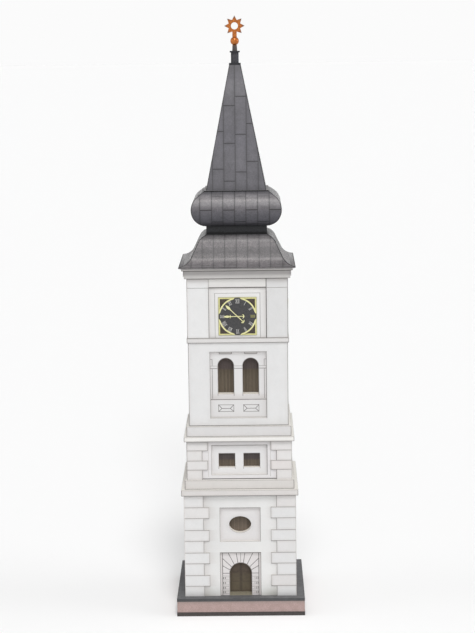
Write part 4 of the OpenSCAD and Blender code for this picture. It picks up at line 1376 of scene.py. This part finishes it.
def roof():
    # seams across the sheets: (left, right, height)
    b0, e0 = BULB_Z0, BULB_TOP
    bulb_cross = [(a, b, b0 + 8.9) for a, b in ((-18.55, -12.6), (-6.85, -0.9), (4.9, 10.85), (16.8, 24.0))]
    bulb_cross += [(a, b, b0 + h) for a, b in ((-12.6, -6.85), (-0.9, 4.9), (10.85, 16.8)) for h in (2.7, 15.6)]
    p0 = PLATE_TOP
    spire_cross = [(a, b, SPIRE_TOP - d) for a, b, ds in (
        (-12.0, -6.2, (33.6, 52.6)), (-6.2, -0.3, (20.5, 39.6, 58.7)), (-0.3, 5.5, (15.9, 35.1, 54.1)), (5.5, 11.4, (29.7, 48.8))) for d in ds]

    # the grey stops by height on the skirt, bulb and spire are partly print and partly painted light and shade on the
    # curved sheets, such as the lighter band high on the bulb and its dark underside
    skirt = skirt_profile()
    e = EAVE_LOW
    m = roof_paper("print_roof_skirt",
                   [(e, (107, 103, 105)), (e + 2.4, (121, 117, 119)), (e + 4.2, (116, 111, 112)), (e + 6.1, (98, 94, 95)), (e + 8.0, (82, 78, 80)),
                    (e + 9.9, (89, 85, 87)), (e + 11.0, (107, 102, 104)), (e + 12.2, (107, 102, 104)), (e + 13.8, (103, 99, 100)), (e + 15.7, (112, 109, 111)), (e + 16.6, (102, 100, 102))],
                   SKIRT_SEAMS, offset=1.0, shaded=0.84, speckle=0.64, sheets=0.17, bands=((e + 13.4, 2.8, 1.0), (e + 4.8, 2.6, 0.8), (e + 9.2, 3.4, 0.35)))
    four_sided("roof_skirt_sheets", skirt, m, "roof_skirt", close_low=[(F_HALF, F_TOP), (EAVE, EAVE_LOW + 0.6)])
    s = Solids()
    length = arc_length(skirt)
    for i, u in enumerate(SKIRT_SEAMS):
        s.ribbon(skirt, 0.0, length, u - 0.08, u + 0.08, 66 + 6 * (i % 3))
    s.ribbon(skirt, 0.0, length, lambda r: r - 0.34, lambda r: r - 0.02, 40, proud=0.036)
    s.ribbon(skirt, 0.0, length, lambda r: 0.02 - r, lambda r: 0.34 - r, 40, proud=0.036)
    s.ribbon(skirt, 0.0, 0.35, -40.0, 40.0, 60, proud=0.033)
    s.build("roof_skirt_seams", INK_ROOF, "roof_paper")

    bulb = bulb_profile()
    stops = [(b0, (44, 44, 48)), (b0 + 0.9, (62, 61, 67)), (b0 + 3.1, (84, 83, 90)), (b0 + 5.2, (80, 79, 86)), (b0 + 7.8, (87, 85, 91)), (b0 + 9.9, (101, 98, 102)), (b0 + 11.9, (116, 113, 116)),
                    (b0 + 13.8, (117, 113, 115)), (b0 + 15.7, (122, 119, 122)), (b0 + 17.1, (91, 89, 93)), (e0, (89, 88, 92))]
    # the underside takes a duller print than the rest, so that no light line shows along the foot
    cut = b0 + 2.2
    k = next(i for i, p in enumerate(bulb) if p[1] > cut)
    t = (cut - bulb[k - 1][1]) / (bulb[k][1] - bulb[k - 1][1])
    joint = (bulb[k - 1][0] + (bulb[k][0] - bulb[k - 1][0]) * t, cut)
    for name, prof, sheen in (("roof_bulb_sheets", [joint] + bulb[k:], 0.6), ("roof_bulb_underside", bulb[:k] + [joint], 0.02)):
        m = roof_paper("print_" + name, stops, BULB_SEAMS, bulb_cross, offset=21.0, warm=0.25, speckle=0.40, sheen=sheen, bands=((b0 + 13.6, 2.4, 0.8), (b0 + 9.0, 3.0, 0.2)))
        four_sided(name, prof, m, "roof_bulb")
    s = Solids()
    length = arc_length(bulb)
    for i, u in enumerate(BULB_SEAMS):
        s.ribbon(bulb, 0.0, length, u - 0.09, u + 0.09, 50 + 5 * (i % 3))
    for u0, u1, z in bulb_cross:
        a = arc_at(bulb, z)
        w = 0.18 if z - b0 < 10 else 0.08
        s.ribbon(bulb, a - w, a + w, u0, u1, 52 if z - b0 < 10 else 86, proud=0.036)
    s.ribbon(bulb, 0.0, length, lambda r: r - 0.30, lambda r: r - 0.02, 44, proud=0.04)
    s.ribbon(bulb, 0.0, length, lambda r: 0.02 - r, lambda r: 0.30 - r, 44, proud=0.04)
    s.build("roof_bulb_seams", INK_ROOF, "roof_paper")

    m = roof_paper("print_spire",
                   [(p0, (76, 74, 80)), (p0 + 4.0, (90, 88, 94)), (p0 + 16.0, (95, 93, 99)), (p0 + 24.0, (93, 91, 98)), (p0 + 44.0, (93, 91, 97)),
                    (p0 + 50.0, (104, 102, 107)), (p0 + 54.0, (104, 102, 107)), (p0 + 58.0, (95, 93, 99)), (p0 + 62.0, (86, 84, 89)), (SPIRE_TOP, (88, 86, 91))],
                   SPIRE_SEAMS, spire_cross, offset=41.0, warm=0.1, speckle=0.26, sheen=0.15, seam_depth=0.19, reach=2.4, hip=0.08)
    assign("spire", m)
    spire = [(SPIRE + (SPIRE_END - SPIRE) * i / 150, PLATE_TOP + (SPIRE_TOP - PLATE_TOP) * i / 150) for i in range(151)]
    length = arc_length(spire)
    s = Solids()
    for i, u in enumerate(SPIRE_SEAMS):
        s.ribbon(spire, 0.0, length, u - 0.08, u + 0.08, 56 + 5 * (i % 3))
    for u0, u1, z in spire_cross:
        a = arc_at(spire, z)
        s.ribbon(spire, a - 0.15, a + 0.15, u0, u1, 54, proud=0.036)
    s.ribbon(spire, 0.0, length, lambda r: r - 0.26, lambda r: r - 0.02, 50, proud=0.04)
    s.ribbon(spire, 0.0, length, lambda r: 0.02 - r, lambda r: 0.26 - r, 50, proud=0.04)
    s.build("spire_seams", INK_ROOF, "roof_paper")

    c = Card("print_neck")
    g = c.noise(2.0, 3.0, 0.6)
    k = c.noise(0.9, 3.0, 0.7, offset=3.0)
    col = c.mix(g.ramp(0.3, 0.7), srgb(38, 39, 41), srgb(56, 56, 59))
    col = c.mix((c.z - foot("roof_neck") + (k - 0.5) * 1.6).ramp(1.0, 1.7, 0.9, 0.0), col, srgb(14, 14, 15))
    # painted contact shadow under the bulb, along the neck's top
    col = c.mix((BULB_Z0 - c.z).fade(0.9) * 0.7, col, srgb(18, 18, 19))
    assign("roof_neck", c.done(col, 0.6, paper_bump(c), specular=0.25))

    c = Card("print_dark_plate")
    g = c.noise(1.5, 3.0, 0.6)
    col = c.mix(g.ramp(0.3, 0.7), srgb(14, 14, 15), srgb(26, 26, 27))
    # the upward face is painted light grey: painted light on the plate's top
    col = c.mix(c.nz.ramp(0.5, 0.8), col, srgb(150, 148, 149))
    assign("spire_base_plate", c.done(col, 0.6, paper_bump(c), specular=0.2))


roof()


# ==========================================================================
# finial
# ==========================================================================
def finial():
    c = Card("print_shaft")
    g = c.noise(1.5, 3.0, 0.6)
    col = c.mix(g.ramp(0.3, 0.7), srgb(54, 54, 58), srgb(79, 78, 83))
    col = c.mix(c.along.ramp(-1.9, -0.7, 1.0, 0.0), col, srgb(40, 40, 42))
    col = c.mix(c.along.ramp(0.6, 1.9), col, srgb(64, 66, 74))
    assign("finial_shaft", c.done(col, 0.5, paper_bump(c), specular=0.25))
    c = Card("print_finial_dark")
    g = c.noise(1.5, 3.0, 0.6)
    col = c.mix(g.ramp(0.3, 0.7), srgb(38, 38, 42), srgb(56, 56, 60))
    dark = c.done(col, 0.5, paper_bump(c), specular=0.25)
    assign("spire_collar", dark)
    assign("finial_cap", dark)
    c = Card("print_stem")
    g = c.noise(1.5, 3.0, 0.6)
    col = c.mix(g.ramp(0.3, 0.7), srgb(66, 60, 58), srgb(88, 81, 78))
    col = c.mix((top("finial_stem") - c.z).fade(1.2) * 0.7, col, srgb(120, 74, 44))
    assign("finial_stem", c.done(col, 0.5, paper_bump(c)))

    c = Card("copper_bead")
    g = c.noise(0.9, 3.0, 0.6)
    col = c.mix(g.ramp(0.3, 0.7), srgb(184, 103, 43), srgb(204, 123, 56))
    # darker towards the bottom: painted shade on the bead's underside
    col = c.mix((c.z - BALL_LO).fade(1.8) * 0.5, col, srgb(140, 78, 34))
    copper = c.done(col, 0.32, c.noise(2.0, 2.0, 0.5, offset=2.0), bump_mm=0.02, specular=0.5, Metallic=0.6)
    # a turned bead in place of the plain ball, flattened where the stem and the star's foot meet it
    n_u, n_v = 40, 22
    zc = (BALL_LO + BALL_HI) / 2 + 0.02
    verts, faces = [], []
    for j in range(n_v + 1):
        a = -math.pi / 2 + math.pi * j / n_v
        z = min(max(zc + BALL_R * math.sin(a), BALL_LO), BALL_HI)
        rr = max(BALL_R * math.cos(a), 0.35)
        for i in range(n_u):
            b = 2 * math.pi * i / n_u
            verts.append((rr * math.cos(b) * MM, rr * math.sin(b) * MM, z * MM))
    for j in range(n_v):
        for i in range(n_u):
            k = (i + 1) % n_u
            faces.append([j * n_u + i, j * n_u + k, (j + 1) * n_u + k, (j + 1) * n_u + i])
    faces.append([i for i in range(n_u - 1, -1, -1)])
    faces.append([n_v * n_u + i for i in range(n_u)])
    ob = mesh_piece("finial_bead", verts, faces, copper, smooth_angle=40)
    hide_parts("finial_ball")

    c = Card("print_star")
    dz = c.z - STAR_Z
    r = (c.x * c.x + dz * dz).power(0.5)
    g = c.noise(1.1, 3.0, 0.7)
    k = c.noise(0.5, 2.0, 0.5, offset=6.0)
    col = c.mix(g.ramp(0.3, 0.7), srgb(158, 83, 30), srgb(204, 122, 50))
    tip = r.ramp(3.3, 4.8) * (1.0 - dz.under(-2.6) * c.ax.under(1.15))
    col = c.mix(tip * (k * 0.6 + 0.55), col, srgb(104, 80, 70))
    col = c.mix((r - 1.75).max(0.0).fade(0.5) * 0.35, col, srgb(150, 84, 44))
    assign("finial_star", c.done(col, 0.42, paper_bump(c), specular=0.3))


finial()


# ==========================================================================
# floor and light
# ==========================================================================
def stage():
    # (power, angular size, elevation, azimuth towards the right): a high key light, a low, weaker one, and a soft one at each side
    suns = ((1.52, 20.0, 60.0, 6.0), (0.67, 12.0, 31.0, 6.0), (1.05, 40.0, 13.0, 84.0), (0.65, 40.0, 13.0, -84.0))
    far, high = 0.966, 0.42
    lo, hi = 0.05, 0.30

    def sky(s):
        t = min(1.0, max(0.0, (s - lo) / (hi - lo)))
        t = t * t * (3 - 2 * t)
        return far + (high - far) * t

    # what an open level surface receives, so that the floor ends in the same white as the sky begins
    n = 400
    level = sum(sky((i + 0.5) / n) * 2 * (i + 0.5) / n for i in range(n)) / n
    level += sum(power * math.sin(math.radians(el)) / math.pi for power, _, el, _ in suns)
    albedo = far / level

    me = bpy.data.meshes.new("floor")
    s = 60.0
    me.from_pydata([(-s, -s, 0), (s, -s, 0), (s, s, 0), (-s, s, 0)], [], [[0, 1, 2, 3]])
    c = Card("floor_paper")
    g = c.noise(0.01, 2.0, 0.5)
    a, b = albedo * 0.998, min(0.999, albedo * 1.002)
    me.materials.append(c.done(c.mix(g, (a, a, a), (b, b, b)), 0.9, specular=0.0))
    floor = bpy.data.objects.new("floor", me)
    bpy.context.scene.collection.objects.link(floor)

    world = bpy.data.worlds.new("studio")
    bpy.context.scene.world = world
    world.use_nodes = True
    t = world.node_tree
    t.nodes.clear()
    co = t.nodes.new("ShaderNodeTexCoord")
    sep = t.nodes.new("ShaderNodeSeparateXYZ")
    t.links.new(co.outputs["Generated"], sep.inputs[0])
    up = Num(t, sep.outputs[2]).abs().ramp(lo, hi, far, high)
    comb = t.nodes.new("ShaderNodeBackground")
    comb.inputs["Color"].default_value = (1, 1, 1, 1)
    t.links.new(up.s, comb.inputs["Strength"])
    out = t.nodes.new("ShaderNodeOutputWorld")
    t.links.new(comb.outputs[0], out.inputs["Surface"])

    for k, (power, size, el, az) in enumerate(suns):
        el, az = math.radians(el), math.radians(az)
        sun = bpy.data.lights.new("key_%d" % k, "SUN")
        sun.energy = power
        sun.angle = math.radians(size)
        ob = bpy.data.objects.new("key_%d" % k, sun)
        bpy.context.scene.collection.objects.link(ob)
        d = Vector((math.cos(el) * math.sin(az), -math.cos(el) * math.cos(az), math.sin(el)))
        ob.rotation_mode = "QUATERNION"
        ob.rotation_quaternion = d.to_track_quat("Z", "Y")
        ob.location = d * 2.0
    bpy.context.scene.view_settings.view_transform = "Standard"
    bpy.context.scene.view_settings.look = "None"
    print("floor albedo %.3f" % albedo)


stage()
